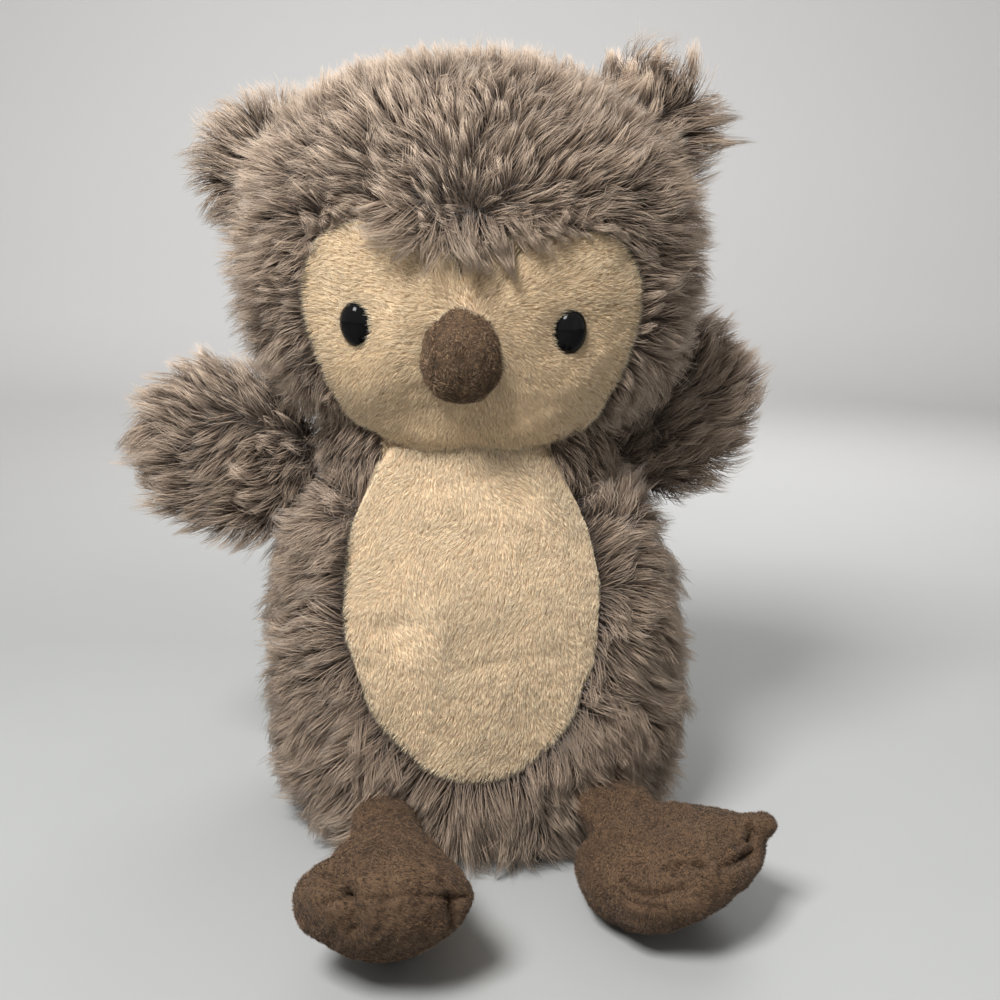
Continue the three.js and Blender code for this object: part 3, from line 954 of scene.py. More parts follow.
def scatter(surface: Surface, density: float, seed: int) -> Roots:
    """Random roots all over a surface.

    Args:
        surface: What the pile grows on.
        density: Strands for each square mm.
        seed: Seed of the places.

    Returns:
        The roots.
    """
    rng = np.random.default_rng(seed)
    corners = []
    for face in surface.faces:
        corners.append(face[:3])
        if len(face) == 4:
            corners.append((face[0], face[2], face[3]))
    index = np.array(corners)
    a, b, c = (surface.points[index[:, k]] for k in range(3))
    area = np.linalg.norm(np.cross(b - a, c - a), axis=1) / 2
    total = int(area.sum() * density)
    along = (np.arange(total) + rng.uniform(size=total)) * area.sum() / total
    picked = np.minimum(np.searchsorted(np.cumsum(area), along), len(area) - 1)
    u, v = rng.uniform(size=(2, total, 1))
    fold = u + v > 1
    u, v = np.where(fold, 1 - u, u), np.where(fold, 1 - v, v)
    weights = (1 - u - v, u, v)
    points = sum(w * surface.points[index[picked, k]] for k, w in enumerate(weights))
    normals = sum(w * surface.normals[index[picked, k]] for k, w in enumerate(weights))
    return Roots(points, unit(normals))


def nearest(points: np.ndarray, centres: np.ndarray) -> np.ndarray:
    """The centre that is nearest to each point.

    Args:
        points: Places, (N, 3).
        centres: Centres, (M, 3).

    Returns:
        The number of a centre for each point.
    """
    tree = KDTree(len(centres))
    for number, centre in enumerate(centres):
        tree.insert(centre, number)
    tree.balance()
    return np.array([tree.find(point)[1] for point in points])


Comb = Callable[[np.ndarray, np.ndarray], np.ndarray]


def grow(roots: Roots, comb: Comb, pile: Pile, seed: int, lengths: np.ndarray | None = None) -> Strands:
    """Grows a coat of pile from its roots.

    Args:
        roots: Where each strand starts.
        comb: Gives the way that the pile lies at points with normals, shorter where it stands up.
        pile: How it grows.
        seed: Seed of everything random in it.
        lengths: A share of the pile's length for each root.

    Returns:
        The strands, gathered in small tufts and larger clumps.
    """
    rng = np.random.default_rng(seed)
    total = len(roots.points)
    spread = np.clip(1 + pile.length_spread * rng.normal(size=total), 0.45, 1.5)
    length = pile.length * spread * (1 if lengths is None else lengths)
    way = tangent(comb(roots.points, roots.normals), roots.normals)
    wander = drift_vectors(roots.points, pile.clump * 2.2, seed + 5)
    way = way + pile.clump_stray * tangent(wander, roots.normals)
    way = way / np.maximum(np.linalg.norm(way, axis=1, keepdims=True), 1)
    lift = 1 + 0.25 * drift(roots.points, pile.clump * 1.5, seed + 9)[:, None]
    first = roots.normals * lift + pile.lean * ROOT_LEAN * way
    first = unit(first + pile.stray * rng.normal(size=(total, 3)))
    last = roots.normals * (1 - 0.45 * pile.curl) * lift + pile.lean * (0.8 + 0.7 * pile.curl) * way
    last = unit(last - pile.droop * UP + pile.stray * rng.normal(size=(total, 3)))
    share = np.linspace(0, 1, pile.knots)[None, :, None]
    path = first[:, None] * share + (last - first)[:, None] * share**2 * BEND
    lines = roots.points[:, None] + path * length[:, None, None]
    groups = []
    for spacing, pull in ((pile.tuft, pile.gather), (pile.clump, pile.clump_gather)):
        picks = rng.permutation(total)[: max(1, int(total / (pile.density * spacing**2)))]
        group = picks[nearest(roots.points, roots.points[picks])]
        strength = pull * share**1.4 * rng.uniform(0.7, 1.15, size=(total, 1, 1))
        lines = lines + (lines[group] - lines) * np.clip(strength, 0, GATHER_LIMIT)
        groups.append(group)
    lines[..., 2] = np.maximum(lines[..., 2], FLOOR_CLEARANCE + 0.3 * rng.uniform(size=(total, 1)))
    taper = np.linspace(1, TIP_WIDTH, pile.knots)[None]
    widths = pile.width * taper * rng.uniform(0.75, 1.25, size=(total, 1))
    own = rng.normal(size=total)
    tints = 0.5 + pile.tint_spread * (0.6 * own + 0.5 * own[groups[0]])
    tints = tints + pile.tint_patch * drift(roots.points, TINT_PATCH_SIZE, seed + 3)
    return Strands(lines, widths, np.clip(tints, 0.02, 0.98))


def away_from(source: np.ndarray, centre: np.ndarray) -> Comb:
    """A comb that runs over a rounded form away from one place on it.

    Args:
        source: The place that the pile runs away from.
        centre: The middle of the form.

    Returns:
        The comb.
    """
    heading = unit(source - centre)

    def comb(points: np.ndarray, normals: np.ndarray) -> np.ndarray:
        """Returns the way away from the source at each point."""
        outward = unit(points - centre)
        return unit(tangent(-np.broadcast_to(heading, points.shape), outward) + 1e-6)

    return comb


def dress(things: Sequence[bpy.types.Object], body: str, slot: str, *nodes: str) -> None:
    """Lets pieces ride on a body and hides the CAD nodes that they stand for.

    Args:
        things: The pieces.
        body: The body that they ride on.
        slot: Not used.
        nodes: The CAD nodes that are hidden, since the pieces stand for them.
    """
    for thing in things:
        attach(thing, body)
    if nodes:
        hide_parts(*nodes)


# The owl


class Side(Enum):
    """The two sides of the owl, as seen in front of it."""

    LEFT = "left"
    RIGHT = "right"

    @property
    def sign(self) -> int:
        """Returns -1 for left and 1 for right."""
        return -1 if self is Side.LEFT else 1


LEG_AZIMUTHS = {Side.LEFT: -113, Side.RIGHT: -57}
SEAM_LAP = 2.5


@dataclass
class Finishes:
    """Every material of the owl, made once."""

    fur: bpy.types.Material = field(default_factory=FUR.material)
    cream: bpy.types.Material = field(default_factory=CREAM.material)
    belly_cream: bpy.types.Material = field(default_factory=BELLY_CREAM.material)
    beak_nap: bpy.types.Material = field(default_factory=BEAK_PILE.material)
    fur_backing: bpy.types.Material = field(default_factory=FUR_BACKING.material)
    cream_backing: bpy.types.Material = field(default_factory=CREAM_BACKING.material)
    suede: bpy.types.Material = field(default_factory=SUEDE.material)
    suede_nap: bpy.types.Material = field(default_factory=SUEDE_PILE.material)
    eye: bpy.types.Material = field(default_factory=EYE_GLOSS.material)


def sew_skins(skin: Surface, middle: float, body: str, material: bpy.types.Material) -> None:
    """Builds the left and right halves of a skin, which lap at the seam between them.

    Args:
        skin: The whole skin.
        middle: Where the seam runs, in mm across.
        body: The body that they ride on.
        material: What they are made of.
    """
    for side in Side:
        half = part_of(skin, (skin.points[:, 0] - middle) * side.sign > -SEAM_LAP)
        backing = new_object(f"{body}_skin_{side.value}", half.points, half.faces, material)
        dress([backing], body, "fur", f"{body}_fur_{side.value}")


def part_coat(coat: Strands, middle: float, body: str, material: bpy.types.Material, seed: int) -> None:
    """Builds a coat of fur in a left and a right half.

    Args:
        coat: The whole coat.
        middle: Where the halves meet, in mm across.
        body: The body that they ride on.
        material: What they are made of.
        seed: Seed of the turn of each strand.
    """
    for side in Side:
        half = coat.kept((coat.lines[:, 0, 0] - middle) * side.sign > 0)
        dress(half.meshed(f"{body}_pile_{side.value}", material, seed), body, "fur")


@dataclass(frozen=True)
class BellyCrease:
    """A faint crease across the belly: its level and depth in mm, and its tilt as a slope."""

    level: float
    depth: float
    tilt: float

    def sink(self, x: np.ndarray, z: np.ndarray) -> np.ndarray:
        """Returns how deep the crease is at places across and up the belly, in mm."""
        height = z - self.level - self.tilt * x - 1.5 * np.sin(x / 9)
        return self.depth * np.exp(-((height / 1.6) ** 2))


BELLY_CREASES = (BellyCrease(118, 0.5, 0.05), BellyCrease(103, 0.35, -0.1), BellyCrease(66, 0.45, 0.12))


@dataclass
class Body:
    """The seated body: fur sides with a cream belly panel in front."""

    width: float = 140
    depth: float = 104
    height: float = 128
    lean: float = -2
    narrow: float = 0.14
    seat: float = 0.5
    belly_width: float = 75
    belly_height: float = 106
    belly_middle: float = 82
    belly_offset: float = 1
    belly_edge: float = 0.965
    chin: float = 133
    chin_blend: float = 3
    neck_front: float = 33.5
    neck_blend: float = 6
    neck_middle: float = -4
    neck_radius: float = 30
    neck_level: float = 100
    skin: float = 7.5
    belly_skin: float = 8.0
    fringe_levels: tuple[float, float] = (36, 56)
    fringe_half_angle: float = 22
    pile: Pile = Pile(
        density=1.6, length=14, width=0.25, droop=0.15, tuft=3.1, gather=0.82, clump=8, clump_gather=0.36,
        stray=0.24, clump_stray=0.4, length_spread=0.26,
    )
    thigh_pile: Pile = Pile(
        density=2.0, length=17, width=0.27, lean=1.5, droop=0.4, stray=0.2, tuft=3.6, gather=0.85, clump=8,
        clump_gather=0.4, length_spread=0.25,
    )
    belly_pile: Pile = Pile(
        density=8.6, length=3.0, width=0.115, knots=3, lean=1.25, tuft=1.4, gather=0.34, clump=6,
        clump_gather=0.05, clump_stray=0.2, stray=0.16, tint_spread=0.4,
    )

    def form(self) -> SoftForm:
        """The body's form.

        Returns:
            A form with a broad seat that narrows towards the neck.
        """

        def shoulders(share: np.ndarray) -> np.ndarray:
            """Returns the shares narrowed towards the neck."""
            rise = (share[:, 2:] + 1) / 2
            return share * np.concatenate([1 - self.narrow * rise**2] * 2 + [np.ones_like(rise)], axis=1)

        place = turn("Y", self.lean) @ shift(0, 0, self.height / 2 - self.seat)
        return SoftForm(
            self.width, self.depth, self.height, side=2.3, top=3, base=5, place=place, taper=shoulders,
            depth_pressed=0.6, base_pressed=0.5,
        )

    def chin_widening(self, level: np.ndarray) -> np.ndarray:
        """Returns how much wider than its oval the belly panel is at each level, up to the chin."""
        return 1 + 0.16 * smooth(116, 132, level)

    def belly_share(self, points: np.ndarray) -> np.ndarray:
        """How far out of the belly's oval points lie.

        Args:
            points: Places on the body, (N, 3).

        Returns:
            0 in the oval's middle, 1 on its edge, and 9 on the owl's back.
        """
        local = moved(points, np.linalg.inv(turn("Y", self.lean)))
        across = (local[:, 0] - self.belly_offset) / (self.belly_width / 2)
        up = (local[:, 2] - self.belly_middle) / (self.belly_height / 2)
        wider = self.chin_widening(points[:, 2])
        return np.where(points[:, 1] < 0, np.hypot(across / wider, np.minimum(up, 0.88)), 9)

    def belly_relief(self, points: np.ndarray, share: np.ndarray) -> np.ndarray:
        """How far the belly's cloth stands out of its even surface.

        Args:
            points: Places on the even surface, (N, 3).
            share: How far out of the oval's middle they lie, with 1 on its edge.

        Returns:
            The rise in mm: a crown that tucks in at the rim, faint creases, a pinch and soft swells.
        """
        x, z = points[:, 0], points[:, 2]
        crown = 0.9 + 2.0 * (1 - share**2) - 5.5 * smooth(0.96, 1.06, share)
        folds = 0.0 * share
        for crease in BELLY_CREASES:
            folds = folds - crease.sink(x, z) * smooth(1.0, 0.6, share)
        pinch = np.hypot((x + 27) / 11, (z - 77 - (x + 27) * 0.12) / 2.4)
        folds = folds - 0.8 * np.exp(-(pinch**2))
        return crown + folds + 0.35 * drift(points, size=26, seed=41)

    def belly_surface(self) -> Surface:
        """The belly panel's surface, from between the feet to under the chin.

        Returns:
            A disc of cloth with its crown and creases, whose rim lies under the fur.
        """
        form, rings, around = self.form(), 60, 168
        share = np.concatenate([[0], np.repeat(np.linspace(0, 1.06, rings + 1)[1:], around)])
        angle = np.concatenate([[0], np.tile(np.linspace(0, 2 * math.pi, around, endpoint=False), rings)])
        high = self.belly_middle + share * self.belly_height / 2 * np.sin(angle)
        x = self.belly_offset + share * self.belly_width / 2 * np.cos(angle) * self.chin_widening(high)
        high = self.chin - self.chin_blend * np.log1p(np.exp((self.chin - high) / self.chin_blend))
        directions = form.front_directions(x, high + self.seat - self.height / 2, self.belly_skin)
        points = form.points(directions, self.belly_skin)
        round_neck = (1 - np.minimum(np.abs(x + 3) / 48, 0.97) ** 2.3) ** (1 / 2.3)
        neck_front = (3.4 * smooth(115, 129, high) - self.neck_front) * round_neck
        from_body = np.exp(-points[:, 1] / self.neck_blend)
        from_neck = smooth(85, 118, high) * np.exp(-neck_front / self.neck_blend)
        points[:, 1] = -self.neck_blend * np.log(from_body + from_neck)
        raised = points[:, 2] + smooth(96, 112, high) * (high - points[:, 2])
        points[:, 2] = np.where(high > 96, raised, points[:, 2])
        points[:, 0] = moved(np.stack([x, 0 * x, high], axis=1), turn("Y", self.lean))[:, 0]
        grid = points[1:].reshape(rings, around, 3)
        along_ring = np.roll(grid, -1, axis=1) - np.roll(grid, 1, axis=1)
        outward = np.cross(along_ring, np.gradient(grid, axis=0))
        normals = unit(np.concatenate([[[0, -1, 0]], outward.reshape(-1, 3)]))
        normals *= np.where(normals[:, 1:2] > 0, -1, 1)
        points = points + normals * self.belly_relief(points, share)[:, None]
        return Surface(points, normals, disc_faces(rings, around))

    def comb(self, points: np.ndarray, normals: np.ndarray) -> np.ndarray:
        """The way that the body's fur lies: away from the belly and down.

        Args:
            points: Roots, (N, 3).
            normals: The skin's normals there, (N, 3).

        Returns:
            The way at each root, shorter by the belly's edge, where the fur stands up.
        """
        belly = np.array([self.belly_offset, -self.depth / 2, self.belly_middle - 4])
        outward = away_from(belly, np.array([0, 0, self.height / 2]))(points, normals)
        front = smooth(30, -30, points[:, 1])[:, None]
        low = smooth(40, 12, points[:, 2])[:, None]
        side = unit(points * np.array([1, 1, 0]))
        near = smooth(1.1, 0.97, self.belly_share(points))[:, None]
        down = UP * (0.35 + 0.65 * (1 - front)) * (1 - 0.6 * low)
        way = outward * (0.25 + 0.75 * front) - down + side * low * 0.7
        return way * (1 - 0.8 * near * smooth(40, 60, points[:, 2:]))

    def belly_comb(self, points: np.ndarray, normals: np.ndarray) -> np.ndarray:
        """Returns the way that the belly's pile lies: down and a little to one side."""
        across = 0.45 * drift(points, size=34, seed=31)[:, None] + 0.25
        return -UP + across * np.array([-1.0, 0, 0])

    def thigh_comb(self, points: np.ndarray, normals: np.ndarray) -> np.ndarray:
        """Returns the way that the fur over the legs lies: down, and loosely to the sides."""
        return 0.3 * drift_vectors(points, size=12, seed=16) - UP

    def build(self, finishes: Finishes) -> None:
        """Builds the body's skin, its belly panel and all of its pile.

        Args:
            finishes: The owl's materials.
        """
        skin = form_surface(self.form(), self.skin, around=120, rings=70)
        sew_skins(skin, 0, "body", finishes.fur_backing)
        belly = self.belly_surface()
        panel = new_object("belly_cloth", belly.points, belly.faces, finishes.cream_backing)
        dress([panel], "body", "cream", "belly_panel")
        roots = scatter(skin, self.pile.density, seed=11)
        x, y, z = roots.points.T
        under_neck = (np.hypot(x - self.neck_middle, y) < self.neck_radius) & (z > self.neck_level)
        beside_belly = self.belly_share(roots.points) > self.belly_edge
        roots = roots.kept(beside_belly & ~under_neck & (roots.normals[:, 2] > -0.93))
        hanging = smooth(34, 12, roots.points[:, 2]) * smooth(-20, -44, roots.points[:, 1])
        coat = grow(roots, self.comb, self.pile, seed=12, lengths=1 + 0.45 * hanging)
        part_coat(coat, 0, "body", finishes.fur, seed=13)
        roots = scatter(belly, self.belly_pile.density, seed=21)
        roots = roots.kept(self.belly_share(roots.points) < 1.03)
        nap = grow(roots, self.belly_comb, self.belly_pile, seed=22)
        dress(nap.meshed("belly_pile", finishes.belly_cream, seed=23), "body", "cream")
        self.thigh_fringe(skin, finishes)

    def thigh_fringe(self, skin: Surface, finishes: Finishes) -> None:
        """Grows the longer fur that hangs over the tops of the legs.

        Args:
            skin: The body's skin.
            finishes: The owl's materials.
        """
        roots = scatter(skin, self.thigh_pile.density, seed=15)
        x, y, z = roots.points.T
        around = np.degrees(np.arctan2(y, x))
        aside = np.minimum(*(np.abs(around - azimuth) for azimuth in LEG_AZIMUTHS.values()))
        low, high = self.fringe_levels
        over_leg = (aside < self.fringe_half_angle) & (z > low) & (z < high)
        roots = roots.kept(over_leg & (self.belly_share(roots.points) > 1.02))
        fringe = grow(roots, self.thigh_comb, self.thigh_pile, seed=17)
        dress(fringe.meshed("thigh_fringe", finishes.fur, seed=18), "body", "fur")


@dataclass
class Neck:
    """The short sleeve of cloth where the head is sewn on: cream in front and fur round the back."""

    width: float = 86
    depth: float = 61
    height: float = 42
    middle: tuple[float, float, float] = (-4, 0, 122)
    bib: float = 22
    bib_lap: float = 3
    bib_rise: float = 0.3
    pile_reach: float = 13
    pile: Pile = Pile(density=1.0, length=9, width=0.28, lean=0.6)
    bib_pile: Pile = Pile(
        density=4.0, length=3.0, width=0.2, knots=3, tuft=1.1, gather=0.35, clump=5, clump_gather=0.12
    )

    def comb(self, points: np.ndarray, normals: np.ndarray) -> np.ndarray:
        """Returns the way that the neck's pile lies: down."""
        return np.broadcast_to(-UP, points.shape)

    def build(self, finishes: Finishes) -> None:
        """Builds the sleeve, its bib and their pile.

        Args:
            finishes: The owl's materials.
        """
        form = SoftForm(
            self.width, self.depth, self.height, side=2.3, top=2.6, base=2.6, place=shift(*self.middle)
        )
        skin = form_surface(form, 0, around=96, rings=40)
        aside = np.abs(skin.points[:, 0] - self.middle[0])
        front = skin.points[:, 1] < 0
        sleeve = part_of(skin, ~(front & (aside < self.bib)))
        bib = part_of(skin, front & (aside < self.bib + self.bib_lap))
        bib.points += bib.normals * self.bib_rise
        backing = new_object("neck_sleeve", sleeve.points, sleeve.faces, finishes.fur_backing)
        dress([backing], "neck", "fur", "neck_stuffing")
        cloth = new_object("neck_bib", bib.points, bib.faces, finishes.cream_backing)
        dress([cloth], "neck", "cream")
        for name, surface, pile, material, slot, seed in (
            ("neck_pile", sleeve, self.pile, finishes.fur, "fur", 101),
            ("bib_pile", bib, self.bib_pile, finishes.cream, "cream", 104),
        ):
            roots = scatter(surface, pile.density, seed)
            roots = roots.kept(np.abs(roots.points[:, 2] - self.middle[2]) < self.pile_reach)
            dress(grow(roots, self.comb, pile, seed + 1).meshed(name, material, seed + 2), "neck", slot)


# Half of the face's heart, from the chin up to the brow, as shares of half its width and height
FACE_KNOTS = (
    (0, -1.08), (0.52, -1.02), (0.77, -0.78), (0.92, -0.33), (1.02, 0.3), (0.95, 0.8), (0.72, 1),
    (0.36, 0.96), (0, 0.84),
)
# The folds that run down the brow to the beak: degrees from upright, and depth in mm
FACE_FOLDS = ((-27, 1.6), (-10, 2.0), (7, 1.6), (25, 1.8))


@dataclass
class Head:
    """The head: fur all round with a cream heart-shaped face panel."""

    width: float = 142
    depth: float = 104
    height: float = 118
    middle: tuple[float, float, float] = (-4, 0, 181.5)
    core: tuple[float, float, float] = (66, 50, 56)
    roll: float = 1.5
    face_width: float = 90
    face_height: float = 60
    face_middle: float = -22.5
    face_offset: float = 2
    chin: float = 6
    whorl: float = 11
    neck_radius: float = 34
    neck_level: float = 140
    skin: float = 7.5
    face_skin: float = 8.0
    pile: Pile = Pile(
        density=1.7, length=12.5, width=0.24, lean=0.62, curl=0.75, tuft=2.9, gather=0.8, clump=7,
        clump_gather=0.3, stray=0.24, clump_stray=0.3, length_spread=0.26,
    )
    fringe_pile: Pile = Pile(density=3.0, length=8.5, width=0.24, lean=1.3, stray=0.18, tuft=3.6, gather=0.85)
    face_pile: Pile = Pile(
        density=8.5, length=2.8, width=0.12, knots=3, lean=1.3, tuft=1.3, gather=0.26, clump=5,
        clump_gather=0.04, clump_stray=0.12, stray=0.15, tint_spread=0.4,
    )

    def form(self) -> SoftForm:
        """The head's form.

        Returns:
            A broad rounded form, a little rolled to one side.
        """
        place = shift(*self.middle) @ turn("Y", self.roll)
        return SoftForm(
            self.width, self.depth, self.height, side=2.3, top=2.35, base=2.5, place=place,
            depth_pressed=0.6, base_pressed=0.4,
        )

    def core_share(self, points: np.ndarray) -> np.ndarray:
        """Returns how far out of the head's core each point lies, with 1 on its surface."""
        return np.linalg.norm((points - np.array(self.middle)) / np.array(self.core), axis=1)

    def outline(self) -> np.ndarray:
        """The face's closed outline.

        Returns:
            Its points in the head's own frame, (N, 2).
        """
        right = np.array(FACE_KNOTS)
        left = right[1:-1][::-1] * np.array([-1, 1])
        knots = np.concatenate([right, left]) * np.array([self.face_width / 2, self.face_height / 2])
        return closed_spline(knots + np.array([self.face_offset, self.face_middle]), 12)

    def drawn(self, points: np.ndarray) -> np.ndarray:
        """Returns the points across and up in the head's own frame, (N, 2)."""
        return moved(points, np.linalg.inv(self.form().place))[:, [0, 2]]

    def face_distance(self, points: np.ndarray) -> np.ndarray:
        """Returns the distance in mm outside the face's outline, and 99 behind."""
        return np.where(points[:, 1] < 0, outline_distance(self.drawn(points), self.outline()), 99)

    def face_relief(self, drawn: np.ndarray, share: np.ndarray) -> np.ndarray:
        """How far the face's cloth stands out of its even surface.

        Args:
            drawn: Places across and up in the head's own frame, (N, 2).
            share: How far out of the face's middle they lie, with 1 on its outline.

        Returns:
            The rise in mm: full cheeks and chin, sunk eyes and soft folds down to the beak.
        """
        x, z = drawn[:, 0] - self.face_offset, drawn[:, 1] - self.face_middle
        rise = 0.9 + 1.6 * (1 - share**2) - 5.5 * smooth(0.97, 1.05, share)
        rise += 2.2 * mound(np.abs(x) - 24, z + 12, width=15, height=13)
        rise += 3.0 * mound(x, z + 33, width=30, height=9, power=4)
        for side in Side:
            low, high = node_box(f"eye_{side.value}")
            spot = self.drawn(((low + high) / 2)[None])[0]
            gap = np.hypot(drawn[:, 0] - spot[0], drawn[:, 1] - spot[1])
            rise -= 2.0 * np.exp(-((gap / 7.5) ** 2))
        for slant, depth in FACE_FOLDS:
            line = x - math.tan(math.radians(slant)) * (z + 2)
            rise -= depth * np.exp(-((line / 2.0) ** 2)) * smooth(6, 20, z)
        return rise

    def face_surface(self) -> Surface:
        """The face panel's surface.

        Returns:
            A disc of cloth with its relief, whose rim lies under the fur.
        """
        form, outline, rings = self.form(), self.outline(), 64
        around = len(outline)
        centre = np.array([self.face_offset, self.face_middle])
        shares = np.linspace(0, 1.05, rings + 1)[1:]
        loops = (centre + shares[:, None, None] * (outline - centre)).reshape(-1, 2)
        drawn = np.concatenate([centre[None], loops])
        share = np.concatenate([[0], np.repeat(shares, around)])
        directions = form.front_directions(drawn[:, 0], drawn[:, 1], self.face_skin)
        points, normals = form.points(directions, self.face_skin), form.normals(directions)
        rise = self.face_relief(drawn, share) + 0.3 * drift(points, size=20, seed=51)
        points = points + normals * rise[:, None]
        x, z = drawn[:, 0] - self.face_offset, drawn[:, 1] - self.face_middle
        points[:, 1] -= self.chin * mound(x, z + 29, width=32, height=9, power=4)
        return Surface(points, normals, disc_faces(rings, around))

    def source(self) -> np.ndarray:
        """Returns the whorl above the brow that the head's fur runs away from."""
        return np.array([self.middle[0] + 3, -self.depth / 2, self.middle[2] + self.whorl])

    def comb(self, points: np.ndarray, normals: np.ndarray) -> np.ndarray:
        """The way that the head's fur lies: away from the brow, and down at the back.

        Args:
            points: Roots, (N, 3).
            normals: The skin's normals there, (N, 3).

        Returns:
            The way at each root, shorter by the face's edge, where the fur stands up.
        """
        outward = away_from(self.source(), np.array(self.middle))(points, normals)
        back = smooth(5, 45, points[:, 1])[:, None]
        low = smooth(165, 140, points[:, 2])[:, None]
        near = smooth(5, 0, self.face_distance(points))[:, None]
        return (outward * (1 - 0.6 * back) - UP * (0.8 * back + 0.35 * low)) * (1 - 0.6 * near)

    def fringe_comb(self, points: np.ndarray, normals: np.ndarray) -> np.ndarray:
        """The way that the fringe lies over the face's upper edge: outwards and down.

        Args:
            points: Roots, (N, 3).
            normals: The skin's normals there, (N, 3).

        Returns:
            The way at each root.
        """
        aside = points[:, 0] - self.middle[0] - 4
        across = np.sign(aside) * smooth(1, 16, np.abs(aside))
        wander = drift_vectors(points, size=9, seed=61)
        return -UP * 0.75 + across[:, None] * np.array([1.0, 0, 0]) + 0.3 * wander

    def face_comb(self, points: np.ndarray, normals: np.ndarray) -> np.ndarray:
        """Returns the way that the face's pile lies: out from the beak and down over the cheeks."""
        beak = np.array([self.middle[0] + self.face_offset, -self.depth / 2, self.middle[2] - 24])
        return unit(points - beak) - UP * 0.3 + 0.15 * drift_vectors(points, size=18, seed=71)

    def build(self, finishes: Finishes) -> None:
        """Builds the head's skin, its face panel and all of its pile.

        Args:
            finishes: The owl's materials.
        """
        skin = form_surface(self.form(), self.skin, around=120, rings=70)
        sew_skins(skin, self.middle[0], "head", finishes.fur_backing)
        face = self.face_surface()
        panel = new_object("face_cloth", face.points, face.faces, finishes.cream_backing)
        dress([panel], "head", "cream", "face_panel")
        self.coat(skin, finishes)
        self.brow_fringe(skin, finishes)
        roots = scatter(face, self.face_pile.density, seed=51)
        roots = roots.kept(self.face_distance(roots.points) < 1.0)
        nap = grow(roots, self.face_comb, self.face_pile, seed=52)
        dress(nap.meshed("face_pile", finishes.cream, seed=53), "head", "cream")

    def coat(self, skin: Surface, finishes: Finishes) -> None:
        """Grows the head's fur, shorter on the crown and by the face.

        Args:
            skin: The head's skin.
            finishes: The owl's materials.
        """
        roots = scatter(skin, self.pile.density, seed=31)
        away = self.face_distance(roots.points)
        x, y, z = roots.points.T
        under_neck = (np.hypot(x - self.middle[0], y) < self.neck_radius) & (z < self.neck_level)
        keep = (away > -0.6) & ~under_neck
        roots, away = roots.kept(keep), away[keep]
        crown = 1 - 0.18 * smooth(0.3, 0.9, roots.normals[:, 2])
        fur = grow(roots, self.comb, self.pile, seed=32, lengths=crown * (0.62 + 0.38 * smooth(0, 12, away)))
        part_coat(fur, self.middle[0], "head", finishes.fur, seed=33)

    def brow_fringe(self, skin: Surface, finishes: Finishes) -> None:
        """Grows the fringe over the face's upper edge, with a longer lock in the middle.

        Args:
            skin: The head's skin.
            finishes: The owl's materials.
        """
        roots = scatter(skin, self.fringe_pile.density, seed=41)
        away = self.face_distance(roots.points)
        aside = np.abs(roots.points[:, 0] - self.middle[0] - self.face_offset)
        keep = (away > -0.5) & (away < 10 - 0.12 * aside) & (roots.points[:, 2] > self.middle[2] - 4)
        roots, aside = roots.kept(keep), aside[keep]
        lock = 0.9 * np.exp(-(((roots.points[:, 0] - self.middle[0] + 8) / 8) ** 2))
        lengths = 1.45 - 0.75 * smooth(6, 34, aside) + lock
        fringe = grow(roots, self.fringe_comb, self.fringe_pile, seed=42, lengths=lengths)
        dress(fringe.meshed("brow_fringe", finishes.fur, seed=43), "head", "fur")


@dataclass
class Eye:
    """One glossy domed eye, set into the face."""

    side: Side
    radius: float = 6.6
    rise: float = 4.6
    narrow: float = 0.77
    rim_angle: float = -0.35
    sections: int = 20
    around: int = 48

    def build(self, head: Head, finishes: Finishes) -> None:
        """Builds the eye's dome where the CAD eye sits.

        Args:
            head: The head that it is set into.
            finishes: The owl's materials.
        """
        low, high = node_box(f"eye_{self.side.value}")
        spot = head.drawn(np.array([[(low[0] + high[0]) / 2, low[1], (low[2] + high[2]) / 2]]))[0]
        form = head.form()
        direction = form.front_directions(np.array([spot[0]]), np.array([spot[1]]), head.face_skin)
        seat, normal = form.points(direction, head.face_skin)[0], form.normals(direction)[0]
        turns = np.linspace(0, 2 * math.pi, self.around, endpoint=False)
        side = unit(np.cross(UP, normal)[None])[0]
        up = np.cross(normal, side)
        spoke = side * np.cos(turns)[:, None] * self.narrow + up * np.sin(turns)[:, None]
        rings = []
        for angle in np.linspace(self.rim_angle, math.pi / 2, self.sections)[:-1]:
            level = math.cos(angle) * self.radius
            rings.append(seat + spoke * level + normal * math.sin(angle) * self.rise)
        points = np.concatenate([(seat + normal * self.rise)[None], *reversed(rings)])
        faces = disc_faces(self.sections - 1, self.around)
        dome = new_object(f"eye_dome_{self.side.value}", points, faces, finishes.eye)
        dress([dome], "head", "eye", f"eye_{self.side.value}")


@dataclass(frozen=True)
class Crease:
    """A fold in cloth along places in a form's own frame, in mm, and out of the cloth where depth < 0."""

    places: tuple[tuple[float, float, float], ...]
    depth: float
    width: float

    def sink(self, points: np.ndarray) -> np.ndarray:
        """How deep the fold is at points of the cloth.

        Args:
            points: The cloth's points in the form's own frame, (N, 3).

        Returns:
            The depth at each in mm.
        """
        line = np.array(self.places)
        steps = [line[:1]]
        for start, end in zip(line[:-1], line[1:]):
            count = max(2, round(np.linalg.norm(end - start) / 0.5))
            steps.append(start + (end - start) * np.arange(1, count + 1)[:, None] / count)
        line = points[nearest(np.concatenate(steps), points)]
        gap = np.linalg.norm(points - line[nearest(points, line)], axis=1)
        return self.depth * np.exp(-((gap / self.width) ** 2))


